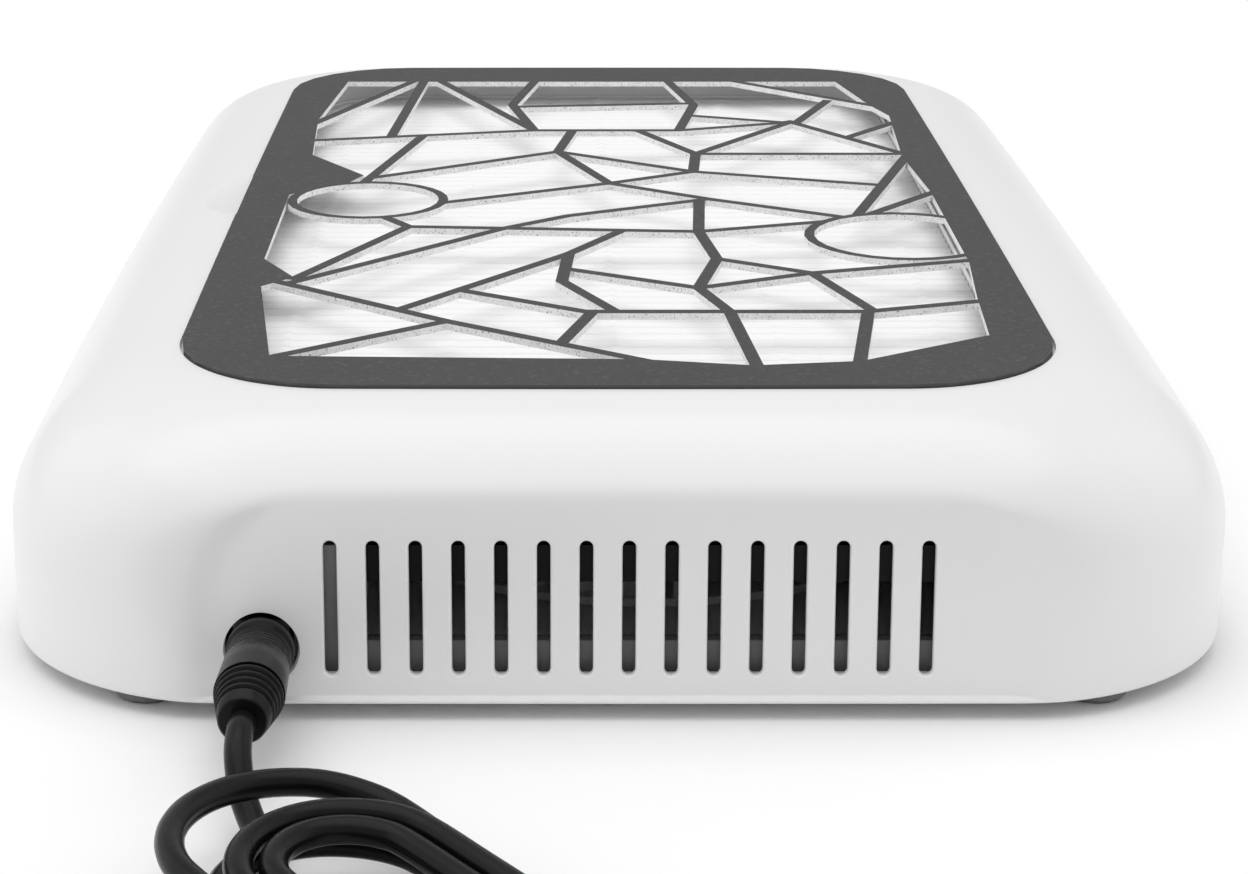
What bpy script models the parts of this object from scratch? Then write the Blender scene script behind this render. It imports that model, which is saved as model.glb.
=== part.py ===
# Nail dust collector, in metres, +Z up, standing on z = 0 with its long side along Y.
# The exhaust slots and the power socket are on the -Y end, the buttons on the +Y end.
import math

import bmesh
import bpy
from mathutils import Matrix, Vector, geometry

# Casing
BODY_WIDTH = 0.2100
BODY_LENGTH = 0.3336
SIDE_BOW = 0.0022
END_BOW = 0.0008
BODY_CORNER = 0.0400
WALL = 0.0030
TOP_WALL = 0.0028
EDGE_RADIUS = 0.0007
FOOT_HEIGHT = 0.0030
WALL_TOP = 0.0220
TOP_HEIGHT = 0.0479
SEAT_GAP = 0.0003
LOOSE_GAP = 0.0004
OVERRUN = 0.0030

# Cut plate in the top
SIDE_RIM = 0.0294
END_RIM = 0.0283
PLATE_CORNER = 0.0280
PLATE_THICK = 0.0012
PLATE_BOW = 0.0006
PLATE_LEDGE = 0.0050
BORDER_SIDE = 0.0071
BORDER_NEAR = 0.0133
BORDER_FAR = 0.0095
BAR_WIDTH = 0.0024
RING_INNER = 0.0148
RING_WIDTH = 0.0020

# Filter cassette and its well
CASSETTE_WALL = 0.0040
GASKET_THICK = 0.0013
LIP_REACH = 0.0042
LIP_THICK = 0.0016
SKIRT_THICK = 0.0016
FILTER_DROP = 0.0050
PLEAT_PITCH = 0.0042
PLEAT_ROOM = 0.0034
MEDIA_THICK = 0.0021

# Exhaust panel and slots
PANEL_INSET = 0.0003
PANEL_LEAN = math.radians(4.5)
SLOT_WIDTH = 0.00215
SLOT_PITCH = 0.00683
SLOT_COUNT = 15
SLOT_BOTTOM = 0.0078
SLOT_SHIFT = 0.0010
SLOT_TOP = 0.0301

# Finger notch beside the plate
NOTCH_LENGTH = 0.0300
NOTCH_REACH = 0.0095
NOTCH_DEPTH = 0.0022

# Bottom cover, feet and case screws
COVER_THICK = 0.0022
COVER_RIM_HEIGHT = 0.0040
COVER_RIM_THICK = 0.0016
FOOT_RADIUS = 0.0056
FOOT_SIDE_INSET = 0.0249
FOOT_END_INSET = 0.0121
FOOT_STUD_RADIUS = 0.0022
FOOT_STUD_LENGTH = 0.0016
BOSS_RADIUS = 0.0040
BOSS_SIDE_INSET = 0.0148
BOSS_END_INSET = 0.0390
PILOT_DEPTH = 0.0120
SCREW_HEAD_RADIUS = 0.0028
SCREW_HEAD_HEIGHT = 0.0016
SCREW_SHANK_RADIUS = 0.0013
SCREW_LENGTH = 0.0100
PAD_RADIUS = 0.0058
PAD_HEIGHT = 0.0022

# Fan and its housing
FAN_X = 0.0050
FAN_SIDE_ROOM = 0.0478
EXHAUST_ROOM = 0.0260
TONGUE_GAP = 0.0040
SCROLL_GROWTH = 0.0090
MOUTH_TAPER = 0.0120
HOUSING_WALL = 0.0020
HOUSING_FLOOR = 0.0016
HOUSING_FOOT = 0.0014
MOUTH_LIP_TOP = 0.0120
MOUTH_PLANE_GAP = 0.0022
FLANGE_GAP = 0.0005
INLET_RIM = 0.0140
INLET_PLATE_THICK = 0.0016
INLET_SKIRT = 0.0062
GUARD_BAR = 0.0024
BLADE_COUNT = 26
BLADE_CHORD = 0.0120
BLADE_THICK = 0.0010
BLADE_PITCH = math.radians(38.0)
BACKPLATE_THICK = 0.0014
BACKPLATE_GAP = 0.0011
IMPELLER_HEIGHT = 0.0134
RIM_WIDTH = 0.0050
IMPELLER_TOP_GAP = 0.0016
HUB_WALL = 0.0018

# Brushless motor inside the hub
SHAFT_RADIUS = 0.0016
BEARING_RADIUS = 0.0046
BEARING_HEIGHT = 0.0030
TUBE_WALL = 0.0016
STATOR_HEIGHT = 0.0064
MAGNET_RADIUS = 0.0180
MAGNET_THICK = 0.0018
AIR_GAP = 0.0007
ROTOR_GAP = 0.0009
CUP_THICK = 0.0010
CUP_HEIGHT = 0.0090
BASE_RADIUS = 0.0175
BASE_THICK = 0.0014
MOTOR_SCREW_RADIUS = 0.0110
MOTOR_SHANK = 0.0009
MOTOR_HEAD = 0.0020
MOTOR_HEAD_HEIGHT = 0.0010
MOTOR_SHANK_LENGTH = 0.0026

# Socket, plug and lead
JACK_SIDE_INSET = 0.0448
JACK_Z = 0.0120
JACK_SIZE = 0.0090
JACK_DEPTH = 0.0130
JACK_BORE_DEPTH = 0.0108
JACK_PIN_RADIUS = 0.0008
RECESS_GAP = 0.0005
BARREL_RADIUS = 0.0027
PIN_GAP = 0.0005
BARREL_LENGTH = 0.0095
PLUG_RADIUS = 0.0055
PLUG_LENGTH = 0.0290
PLUG_TAIL_RADIUS = 0.0039
PLUG_GROOVE = 0.0009
PLUG_RIBS = 5
PLUG_HEAD_SHARE = 0.10
PLUG_WAIST_SHARE = 0.13
PLUG_NECK_SHARE = 0.3
PLUG_GRIP_SHARE = 0.46
RIBS_START_SHARE = 0.49
RIBS_LENGTH_SHARE = 0.34
FIRST_RIB_SHARE = 0.1
RIB_PROFILE_SHARES = ((1.0, 0.1), (1.0, 0.4), (0.0, 0.5), (0.0, 0.95))
GRIP_FLAT_SHARE = 0.84
GRIP_NEAR_SHARE = 0.14
GRIP_FAR_SHARE = 0.48
CORD_RADIUS = 0.0021
CORD_GAP = 0.0003

# Wound part of the lead, a hank that lies across the lead's first stretch
HANK_X = -0.0460
HANK_Y = -0.2300
HANK_RADIUS = 0.0200
HANK_RUN = 0.0560
HANK_TURN = math.radians(-50.0)
HANK_STEP = 0.0048
HANK_LAYER_TURNS = 2
HANK_RISE = 0.0048
HANK_LEAN = 0.0056
HANK_LEAN_END = 1.25
HANK_LOOP_POINTS = 24
HANK_NEST = 0.0100
TIE_PLACE = 0.0386
TIE_SLACK = 0.0006
TIE_THICK = 0.0007
TIE_WIDTH = 0.0042

# Wall adapter at the far end of the lead
ADAPTER_WIDTH = 0.0460
ADAPTER_LENGTH = 0.0720
ADAPTER_HEIGHT = 0.0280
ADAPTER_X = 0.0740
ADAPTER_Y = -0.3265
ADAPTER_ROUND = 0.0040
ADAPTER_CORD_Z = 0.0070
RELIEF_LENGTH = 0.0160
RELIEF_RADIUS = 0.0040
BLADE_WIDTH = 0.0063
BLADE_METAL = 0.0015
BLADE_LENGTH = 0.0160
BLADE_SEAT = 0.0040
BLADE_SPACING = 0.0127

# Controls on the far end
BUTTON_RADIUS = 0.0050
BUTTON_X = 0.0140
CONTROL_Z = 0.0140
BUTTON_PROUD = 0.0014
BUTTON_FLANGE = 0.0010
BUTTON_FLANGE_THICK = 0.0012
BUTTON_TRAVEL = 0.0010
STEM_RADIUS = 0.0013
STEM_REACH = 0.0010
SWITCH_SIZE = 0.0062
SWITCH_DEPTH = 0.0040
BOARD_INSET = 0.0140
BOARD_WIDTH = 0.0620
BOARD_HEIGHT = 0.0180
BOARD_THICK = 0.0016
LIGHT_RADIUS = 0.0015
POST_WIDTH = 0.0060
POST_DEPTH = 0.0070
WIRE_RADIUS = 0.0013

# Faceting
CORNER_STEPS = 6
SIDE_STEPS = 4
ROLL_STEPS = 6
INNER_ROLL_STEPS = 3
ROUND_STEPS = 20
SMALL_STEPS = 12
FINE_STEPS = 28
BLADE_STEPS = 2
SLOT_STEPS = 4
MEDIUM_STEPS = 16

BASE_Z = FOOT_HEIGHT
FLOOR_Z = BASE_Z + COVER_THICK
HALF_X = BODY_WIDTH / 2 - SIDE_BOW
HALF_Y = BODY_LENGTH / 2 - END_BOW
PLATE_WIDTH = BODY_WIDTH - SIDE_RIM * 2
PLATE_LENGTH = BODY_LENGTH - END_RIM * 2
PLATE_TOP = TOP_HEIGHT + PLATE_THICK / 2
PLATE_BOTTOM = PLATE_TOP - PLATE_THICK
LEDGE_Z = PLATE_BOTTOM - SEAT_GAP
WELL_X = PLATE_WIDTH / 2 - PLATE_LEDGE
WELL_Y = PLATE_LENGTH / 2 - PLATE_LEDGE
WELL_CORNER = PLATE_CORNER - PLATE_LEDGE
FOOT_X = HALF_X - FOOT_SIDE_INSET
FOOT_Y = HALF_Y - FOOT_END_INSET
BOSS_X = HALF_X - BOSS_SIDE_INSET
BOSS_Y = HALF_Y - BOSS_END_INSET
PILOT_RADIUS = SCREW_SHANK_RADIUS + LOOSE_GAP

# The fan stands on the floor and carries the lid, which the lip and the filter follow
IMPELLER_RADIUS = HALF_X - FAN_SIDE_ROOM
FAN_Y = -(HALF_Y - IMPELLER_RADIUS - EXHAUST_ROOM)
INLET_RADIUS = IMPELLER_RADIUS - INLET_RIM
MOUTH_Y = -(HALF_Y - WALL - MOUTH_PLANE_GAP)
FAN_BASE = FLOOR_Z + SEAT_GAP
FAN_FLOOR = FAN_BASE + HOUSING_FOOT + HOUSING_FLOOR
WHEEL_LOW = FAN_FLOOR + BACKPLATE_GAP
HOUSING_TOP = WHEEL_LOW + IMPELLER_HEIGHT + IMPELLER_TOP_GAP
LIP_TOP = HOUSING_TOP + INLET_PLATE_THICK + LIP_THICK + SEAT_GAP * 2
CASSETTE_BOTTOM = LIP_TOP + GASKET_THICK + SEAT_GAP * 2
CASSETTE_TOP = PLATE_BOTTOM - FILTER_DROP
PLEAT_DEPTH = CASSETTE_TOP - CASSETTE_BOTTOM - PLEAT_ROOM

# The motor's turning half wraps round its fixed half
TUBE_RADIUS = BEARING_RADIUS + SEAT_GAP + TUBE_WALL
STATOR_RADIUS = MAGNET_RADIUS - MAGNET_THICK - AIR_GAP
HUB_RADIUS = MAGNET_RADIUS + SEAT_GAP + CUP_THICK + LOOSE_GAP + HUB_WALL
MOTOR_FLANGE_TOP = FAN_FLOOR + SEAT_GAP + BASE_THICK
STATOR_LOW = MOTOR_FLANGE_TOP + MOTOR_SHANK_LENGTH / 2 + SEAT_GAP
CUP_TOP = STATOR_LOW + STATOR_HEIGHT + ROTOR_GAP + CUP_THICK
HUB_TOP = CUP_TOP + SEAT_GAP + HUB_WALL

JACK_X = -(HALF_X - JACK_SIDE_INSET)
JACK_BORE = BARREL_RADIUS + LOOSE_GAP
BARREL_BORE = JACK_PIN_RADIUS + PIN_GAP
RECESS_RADIUS = PLUG_RADIUS + RECESS_GAP
BOARD_Y = HALF_Y - BOARD_INSET

materials = {}


def clear_scene():
    for old in list(bpy.data.objects):
        bpy.data.objects.remove(old, do_unlink=True)


def finish(name, grey, roughness, metallic=0.0):
    """A plain material, made once for each name."""
    if name not in materials:
        made = bpy.data.materials.new(name)
        made.use_nodes = True
        shader = made.node_tree.nodes["Principled BSDF"]
        shader.inputs["Base Color"].default_value = (grey[0], grey[1], grey[2], 1.0)
        shader.inputs["Roughness"].default_value = roughness
        shader.inputs["Metallic"].default_value = metallic
        materials[name] = made
    return materials[name]


def white_plastic():
    return finish("white_gloss", (0.85, 0.85, 0.85), 0.22)


def dark_plastic():
    return finish("dark_moulding", (0.06, 0.06, 0.062), 0.45)


def black_plastic():
    return finish("black_moulding", (0.02, 0.02, 0.02), 0.4)


def plate_paint():
    return finish("plate_grey", (0.11, 0.11, 0.115), 0.35, 0.3)


def rubber():
    return finish("grey_rubber", (0.09, 0.09, 0.09), 0.85)


def lead_vinyl():
    return finish("lead_vinyl", (0.03, 0.03, 0.03), 0.42)


def bright_steel():
    return finish("bright_steel", (0.55, 0.55, 0.56), 0.28, 1.0)


def filter_paper():
    return finish("filter_paper", (0.82, 0.82, 0.82), 0.9)


def board_green():
    return finish("board_green", (0.03, 0.16, 0.07), 0.5)


def from_mesh(name, bm, material, smooth=True):
    bmesh.ops.remove_doubles(bm, verts=bm.verts, dist=SEAT_GAP / 100)
    bmesh.ops.recalc_face_normals(bm, faces=bm.faces)
    mesh = bpy.data.meshes.new(name)
    bm.to_mesh(mesh)
    bm.free()
    if material:
        mesh.materials.append(material)
    if smooth:
        mesh.shade_smooth()
        mesh.set_sharp_from_angle(angle=math.radians(32))
    made = bpy.data.objects.new(name, mesh)
    bpy.context.scene.collection.objects.link(made)
    return made


def loft(name, rings, material, closed=False, smooth=True):
    """Skin rings of equal count; the ends are capped unless the rings close on themselves."""
    bm = bmesh.new()
    rows = [[bm.verts.new(point) for point in ring] for ring in rings]
    pairs = list(zip(rows, rows[1:]))
    if closed:
        pairs.append((rows[-1], rows[0]))
    for low, high in pairs:
        count = len(low)
        for i in range(count):
            j = (i + 1) % count
            bm.faces.new((low[i], low[j], high[j], high[i]))
    if not closed:
        bm.faces.new(rows[0])
        bm.faces.new(rows[-1])
    return from_mesh(name, bm, material, smooth)


def prism(name, outline, low, high, material=None):
    rings = [[(x, y, z) for x, y in outline] for z in (low, high)]
    return loft(name, rings, material, smooth=False)


def box(name, low, high, material=None):
    corners = [(low[0], low[1]), (high[0], low[1]), (high[0], high[1]), (low[0], high[1])]
    return prism(name, corners, low[2], high[2], material)


def circle(radius, steps, x=0.0, y=0.0):
    places = [2 * math.pi * i / steps for i in range(steps)]
    return [(x + radius * math.cos(a), y + radius * math.sin(a)) for a in places]


def turned(name, profile, material, steps=ROUND_STEPS, bore=False):
    """Turn (radius, height) pairs about Z; with a bore the profile closes on itself."""
    rings = [[(x, y, height) for x, y in circle(radius, steps)] for radius, height in profile]
    return loft(name, rings, material, closed=bore)


def rod(name, radius, low, high, material=None, steps=ROUND_STEPS):
    return turned(name, [(radius, low), (radius, high)], material, steps)


def place(made, x, y, z, facing=None):
    """Move to x, y, z, with its own +Z turned towards facing."""
    turn = Matrix.Identity(4)
    if facing:
        turn = Vector((0, 0, 1)).rotation_difference(Vector(facing)).to_matrix().to_4x4()
    made.matrix_world = Matrix.Translation((x, y, z)) @ turn
    return made


def guide(made):
    """A shape that only cuts or joins another."""
    made.hide_render = True
    made.display_type = "WIRE"
    return made


def combine(target, shape, how):
    step = target.modifiers.new(how.lower(), "BOOLEAN")
    step.operation = how
    step.solver = "EXACT"
    step.object = guide(shape)
    return target


def cut(target, shape):
    return combine(target, shape, "DIFFERENCE")


def join(target, shape):
    return combine(target, shape, "UNION")


def rounded(half_x, half_y, radius, bow_x=0.0, bow_y=0.0):
    """A rounded rectangle whose long and short sides bow outwards."""
    points = []
    corners = [(1, 1), (-1, 1), (-1, -1), (1, -1)]
    for index, (sx, sy) in enumerate(corners):
        cx = sx * (half_x - radius)
        cy = sy * (half_y - radius)
        start = index * math.pi / 2
        for i in range(CORNER_STEPS + 1):
            angle = start + math.pi / 2 * i / CORNER_STEPS
            points.append((cx + radius * math.cos(angle), cy + radius * math.sin(angle)))
        nx, ny = corners[(index + 1) % 4]
        along_x = index in (0, 2)
        ex = nx * (half_x - radius) if along_x else points[-1][0]
        ey = points[-1][1] if along_x else ny * (half_y - radius)
        px, py = points[-1]
        for i in range(1, SIDE_STEPS):
            share = i / SIDE_STEPS
            points.append((px + (ex - px) * share, py + (ey - py) * share))
    return [
        (
            x + bow_x * (x / half_x) * (1 - (y / half_y) ** 2),
            y + bow_y * (y / half_y) * (1 - (x / half_x) ** 2),
        )
        for x, y in points
    ]


def level(outline, z):
    return [(x, y, z) for x, y in outline]


def mix(a, b, share):
    return a + (b - a) * share


def shell_outline(inset, inner_x, inner_y, inner_corner, share):
    """The casing's outline on its way from the wall to the opening in its top."""
    return rounded(
        mix(HALF_X - inset, inner_x, share),
        mix(HALF_Y - inset, inner_y, share),
        mix(BODY_CORNER - inset, inner_corner, share),
        mix(SIDE_BOW, PLATE_BOW, share),
        mix(END_BOW, PLATE_BOW, share),
    )


def plate_outline(grow):
    return rounded(
        PLATE_WIDTH / 2 + grow,
        PLATE_LENGTH / 2 + grow,
        PLATE_CORNER + grow,
        PLATE_BOW,
        PLATE_BOW,
    )


def well_outline(grow):
    return rounded(WELL_X + grow, WELL_Y + grow, WELL_CORNER + grow, PLATE_BOW, PLATE_BOW)


def panel_y(z):
    """Where the leaning exhaust panel lies at a height."""
    return -(HALF_Y - PANEL_INSET) + (z - BASE_Z) * math.tan(PANEL_LEAN)


def slot_places():
    first = SLOT_SHIFT - SLOT_PITCH * (SLOT_COUNT - 1) / 2
    return [first + SLOT_PITCH * i for i in range(SLOT_COUNT)]


def boss_places():
    return [(sx * BOSS_X, sy * BOSS_Y) for sx in (-1, 1) for sy in (-1, 0, 1)]


def upper_shell():
    roll = [math.pi / 2 * i / ROLL_STEPS for i in range(ROLL_STEPS + 1)]
    inner_roll = [math.pi / 2 * i / INNER_ROLL_STEPS for i in range(INNER_ROLL_STEPS + 1)]
    open_x = PLATE_WIDTH / 2 + LOOSE_GAP
    open_y = PLATE_LENGTH / 2 + LOOSE_GAP
    open_corner = PLATE_CORNER + LOOSE_GAP
    skirt_x = WELL_X + SKIRT_THICK
    skirt_y = WELL_Y + SKIRT_THICK
    skirt_corner = WELL_CORNER + SKIRT_THICK
    rings = [level(shell_outline(EDGE_RADIUS, open_x, open_y, open_corner, 0), BASE_Z)]
    rings.append(level(shell_outline(0, open_x, open_y, open_corner, 0), BASE_Z + EDGE_RADIUS))
    for angle in roll:
        outline = shell_outline(0, open_x, open_y, open_corner, 1 - math.cos(angle))
        rings.append(level(outline, mix(WALL_TOP, TOP_HEIGHT, math.sin(angle))))
    rings.append(level(plate_outline(LOOSE_GAP), LEDGE_Z))
    rings.append(level(well_outline(0), LEDGE_Z))
    rings.append(level(well_outline(0), LIP_TOP))
    rings.append(level(well_outline(-LIP_REACH), LIP_TOP))
    rings.append(level(well_outline(-LIP_REACH), LIP_TOP - LIP_THICK))
    rings.append(level(well_outline(SKIRT_THICK), LIP_TOP - LIP_THICK))
    for angle in reversed(inner_roll):
        outline = shell_outline(WALL, skirt_x, skirt_y, skirt_corner, 1 - math.cos(angle))
        rings.append(level(outline, mix(WALL_TOP, TOP_HEIGHT - TOP_WALL, math.sin(angle))))
    rings.append(level(shell_outline(WALL, skirt_x, skirt_y, skirt_corner, 0), BASE_Z))
    shell = loft("upper_shell", rings, white_plastic(), closed=True)
    cut_panel(shell)
    cut_slots(shell)
    cut_notch(shell)
    add_bosses(shell)
    hole = rod("hole_socket", RECESS_RADIUS, -OVERRUN * 2, OVERRUN * 2)
    cut(shell, place(hole, JACK_X, -HALF_Y, JACK_Z, (0, -1, 0)))
    for index, x in enumerate((-BUTTON_X, BUTTON_X)):
        hole = rod(f"hole_button_{index}", BUTTON_RADIUS + LOOSE_GAP, -OVERRUN * 2, OVERRUN * 2)
        cut(shell, place(hole, x, HALF_Y, CONTROL_Z, (0, 1, 0)))
    hole = rod("hole_light", LIGHT_RADIUS + SEAT_GAP, -OVERRUN * 2, OVERRUN * 2)
    cut(shell, place(hole, 0, HALF_Y, CONTROL_Z, (0, 1, 0)))
    return shell


def cut_panel(shell):
    """A flat leaning plane trims the bowed end, so its edge fades into the rounding."""
    deep = OVERRUN * 4
    low = BASE_Z - OVERRUN
    high = TOP_HEIGHT - OVERRUN * 3
    section = [
        (panel_y(low) - deep, low),
        (panel_y(low), low),
        (panel_y(high), high),
        (panel_y(high) - deep, high),
    ]
    half = HALF_X - BODY_CORNER / 2
    rings = [[(x, y, z) for y, z in section] for x in (-half, half)]
    cut(shell, loft("trim_panel", rings, None, smooth=False))


def cut_slots(shell):
    """Round-ended upright slots, in one cutter of separate bars."""
    bm = bmesh.new()
    radius = SLOT_WIDTH / 2
    half_turn = [math.pi * i / SLOT_STEPS for i in range(SLOT_STEPS + 1)]
    for x in slot_places():
        outline = [
            (x + radius * math.cos(a), SLOT_TOP - radius + radius * math.sin(a)) for a in half_turn
        ]
        outline += [
            (x - radius * math.cos(a), SLOT_BOTTOM + radius - radius * math.sin(a))
            for a in half_turn
        ]
        ends = []
        for y in (-HALF_Y - OVERRUN, -HALF_Y + WALL + OVERRUN):
            ends.append([bm.verts.new((px, y, pz)) for px, pz in outline])
        count = len(outline)
        for i in range(count):
            j = (i + 1) % count
            bm.faces.new((ends[0][i], ends[0][j], ends[1][j], ends[1][i]))
        bm.faces.new(ends[0])
        bm.faces.new(ends[1])
    cut(shell, from_mesh("hole_slots", bm, None, smooth=False))


def cut_notch(shell):
    """A shallow scoop for a fingertip at the middle of the plate's left edge."""
    scoop = turned("scoop_notch", scoop_profile(), None, FINE_STEPS)
    scoop.data.transform(Matrix.Diagonal((NOTCH_REACH, NOTCH_LENGTH / 2, NOTCH_DEPTH, 1)))
    edge = -(PLATE_WIDTH / 2 + PLATE_BOW)
    cut(shell, place(scoop, edge, 0, TOP_HEIGHT))


def scoop_profile():
    """A unit bowl with a short collar over it, scaled by the notch's sizes."""
    steps = 5
    bowl = [math.pi / 2 * (i + 0.5) / steps for i in range(steps)]
    return [(math.sin(a), -math.cos(a)) for a in bowl] + [(1, 1)]


def boss_top():
    """The height of the casing's inner rounding over a boss's centre."""
    run = HALF_X - WALL - (WELL_X + SKIRT_THICK)
    share = (HALF_X - WALL - BOSS_X) / run
    return mix(WALL_TOP, TOP_HEIGHT - TOP_WALL, math.sqrt(1 - (1 - share) ** 2))


def add_bosses(shell):
    top = boss_top()
    low = FLOOR_Z + PAD_HEIGHT + SEAT_GAP
    for index, (x, y) in enumerate(boss_places()):
        post = rod(f"boss_{index}", BOSS_RADIUS, low, top, steps=SMALL_STEPS)
        join(shell, place(post, x, y, 0))
    for index, (x, y) in enumerate(boss_places()):
        high = low + PILOT_DEPTH
        hole = rod(f"hole_pilot_{index}", PILOT_RADIUS, low - OVERRUN, high, steps=SMALL_STEPS)
        cut(shell, place(hole, x, y, 0))


def bottom_cover():
    grow = WALL + LOOSE_GAP
    outer = rounded(
        HALF_X - grow, HALF_Y - grow, BODY_CORNER - grow, SIDE_BOW, END_BOW
    )
    step = grow + COVER_RIM_THICK
    inner = rounded(
        HALF_X - step, HALF_Y - step, BODY_CORNER - step, SIDE_BOW, END_BOW
    )
    rim_top = BASE_Z + COVER_RIM_HEIGHT
    rings = [level(outer, BASE_Z), level(outer, rim_top), level(inner, rim_top)]
    rings.append(level(inner, FLOOR_Z))
    cover = loft("bottom_cover", rings, white_plastic())
    recess = SCREW_HEAD_HEIGHT + SEAT_GAP * 2
    for index, (x, y) in enumerate(boss_places()):
        low = FLOOR_Z - COVER_THICK / 2
        pad = rod(f"pad_{index}", PAD_RADIUS, low, FLOOR_Z + PAD_HEIGHT, steps=SMALL_STEPS)
        join(cover, place(pad, x, y, 0))
    for index, (x, y) in enumerate(boss_places()):
        wide = SCREW_HEAD_RADIUS + LOOSE_GAP
        low = BASE_Z - OVERRUN
        sink = rod(f"sink_{index}", wide, low, BASE_Z + recess, steps=SMALL_STEPS)
        cut(cover, place(sink, x, y, 0))
        hole = rod(
            f"hole_case_{index}",
            SCREW_SHANK_RADIUS + LOOSE_GAP,
            BASE_Z - OVERRUN,
            FLOOR_Z + PAD_HEIGHT + OVERRUN,
            steps=SMALL_STEPS,
        )
        cut(cover, place(hole, x, y, 0))
    for index, (x, y) in enumerate(foot_places()):
        hole = rod(
            f"hole_foot_{index}",
            FOOT_STUD_RADIUS + SEAT_GAP,
            BASE_Z - OVERRUN,
            FLOOR_Z + OVERRUN,
            steps=SMALL_STEPS,
        )
        cut(cover, place(hole, x, y, 0))
    add_board_posts(cover)
    return cover


def add_board_posts(cover):
    """Two grooved posts hold the control board upright."""
    for index, side in enumerate((-1, 1)):
        x = side * (BOARD_WIDTH / 2)
        low = (x - POST_WIDTH / 2, BOARD_Y - POST_DEPTH / 2, FLOOR_Z - COVER_THICK / 2)
        high = (x + POST_WIDTH / 2, BOARD_Y + POST_DEPTH / 2, FLOOR_Z + BOARD_HEIGHT * 0.7)
        join(cover, box(f"post_{index}", low, high))
    half = BOARD_THICK / 2 + SEAT_GAP
    reach = BOARD_WIDTH / 2 + SEAT_GAP
    low = (-reach, BOARD_Y - half, FLOOR_Z + SEAT_GAP)
    high = (reach, BOARD_Y + half, FLOOR_Z + BOARD_HEIGHT)
    cut(cover, box("groove_board", low, high))


def foot_places():
    return [(sx * FOOT_X, sy * FOOT_Y) for sx in (-1, 1) for sy in (-1, 1)]


def feet():
    """Rubber pads with a stud that pushes into the bottom cover."""
    edge = FOOT_RADIUS / 8
    top = BASE_Z - SEAT_GAP
    for index, (x, y) in enumerate(foot_places()):
        profile = [
            (FOOT_RADIUS - edge, 0),
            (FOOT_RADIUS, edge),
            (FOOT_RADIUS, top),
            (FOOT_STUD_RADIUS, top),
            (FOOT_STUD_RADIUS, top + FOOT_STUD_LENGTH),
        ]
        foot = turned(f"rubber_foot_{index + 1}", profile, rubber(), MEDIUM_STEPS)
        place(foot, x, y, 0)


def case_screws():
    seat = BASE_Z + SCREW_HEAD_HEIGHT + SEAT_GAP
    low = seat - SCREW_HEAD_HEIGHT
    for index, (x, y) in enumerate(boss_places()):
        screw = pan_screw(
            f"case_screw_{index + 1}",
            (SCREW_HEAD_RADIUS, SCREW_HEAD_HEIGHT, SCREW_SHANK_RADIUS, SCREW_LENGTH),
        )
        place(screw, x, y, low)


def pan_screw(name, sizes):
    """Head down on z = 0, shank up, with a cross recess in the head."""
    head, height, shank, length = sizes
    edge = height / 3
    profile = [
        (head - edge, 0),
        (head, edge),
        (head, height),
        (shank, height),
        (shank, height + length - shank),
        (shank / 2, height + length),
    ]
    screw = turned(name, profile, bright_steel(), SMALL_STEPS)
    arm = head * 0.62
    half = head * 0.12
    deep = height * 0.55
    for index, (wide, tall) in enumerate(((arm, half), (half, arm))):
        slot = box(f"{name}_drive_{index}", (-wide, -tall, -OVERRUN), (wide, tall, deep))
        slot.parent = screw
        cut(screw, slot)
    return screw


# Opening of the cut plate, as (x, y) shares of its window from the near left corner
WINDOW_SHARES = (
    (0.065, 0.012),
    (0.530, 0.004),
    (0.665, -0.010),
    (0.800, 0.000),
    (0.975, 0.062),
    (0.985, 0.160),
    (1.000, 0.260),
    (1.000, 0.490),
    (0.985, 0.625),
    (1.000, 0.800),
    (0.975, 0.850),
    (0.935, 0.965),
    (0.040, 0.965),
    (0.012, 0.780),
    (0.025, 0.632),
    (0.118, 0.552),
    (0.096, 0.521),
    (0.061, 0.511),
    (0.035, 0.494),
    (0.012, 0.480),
    (0.012, 0.270),
    (0.062, 0.216),
    (0.022, 0.190),
)

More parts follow.
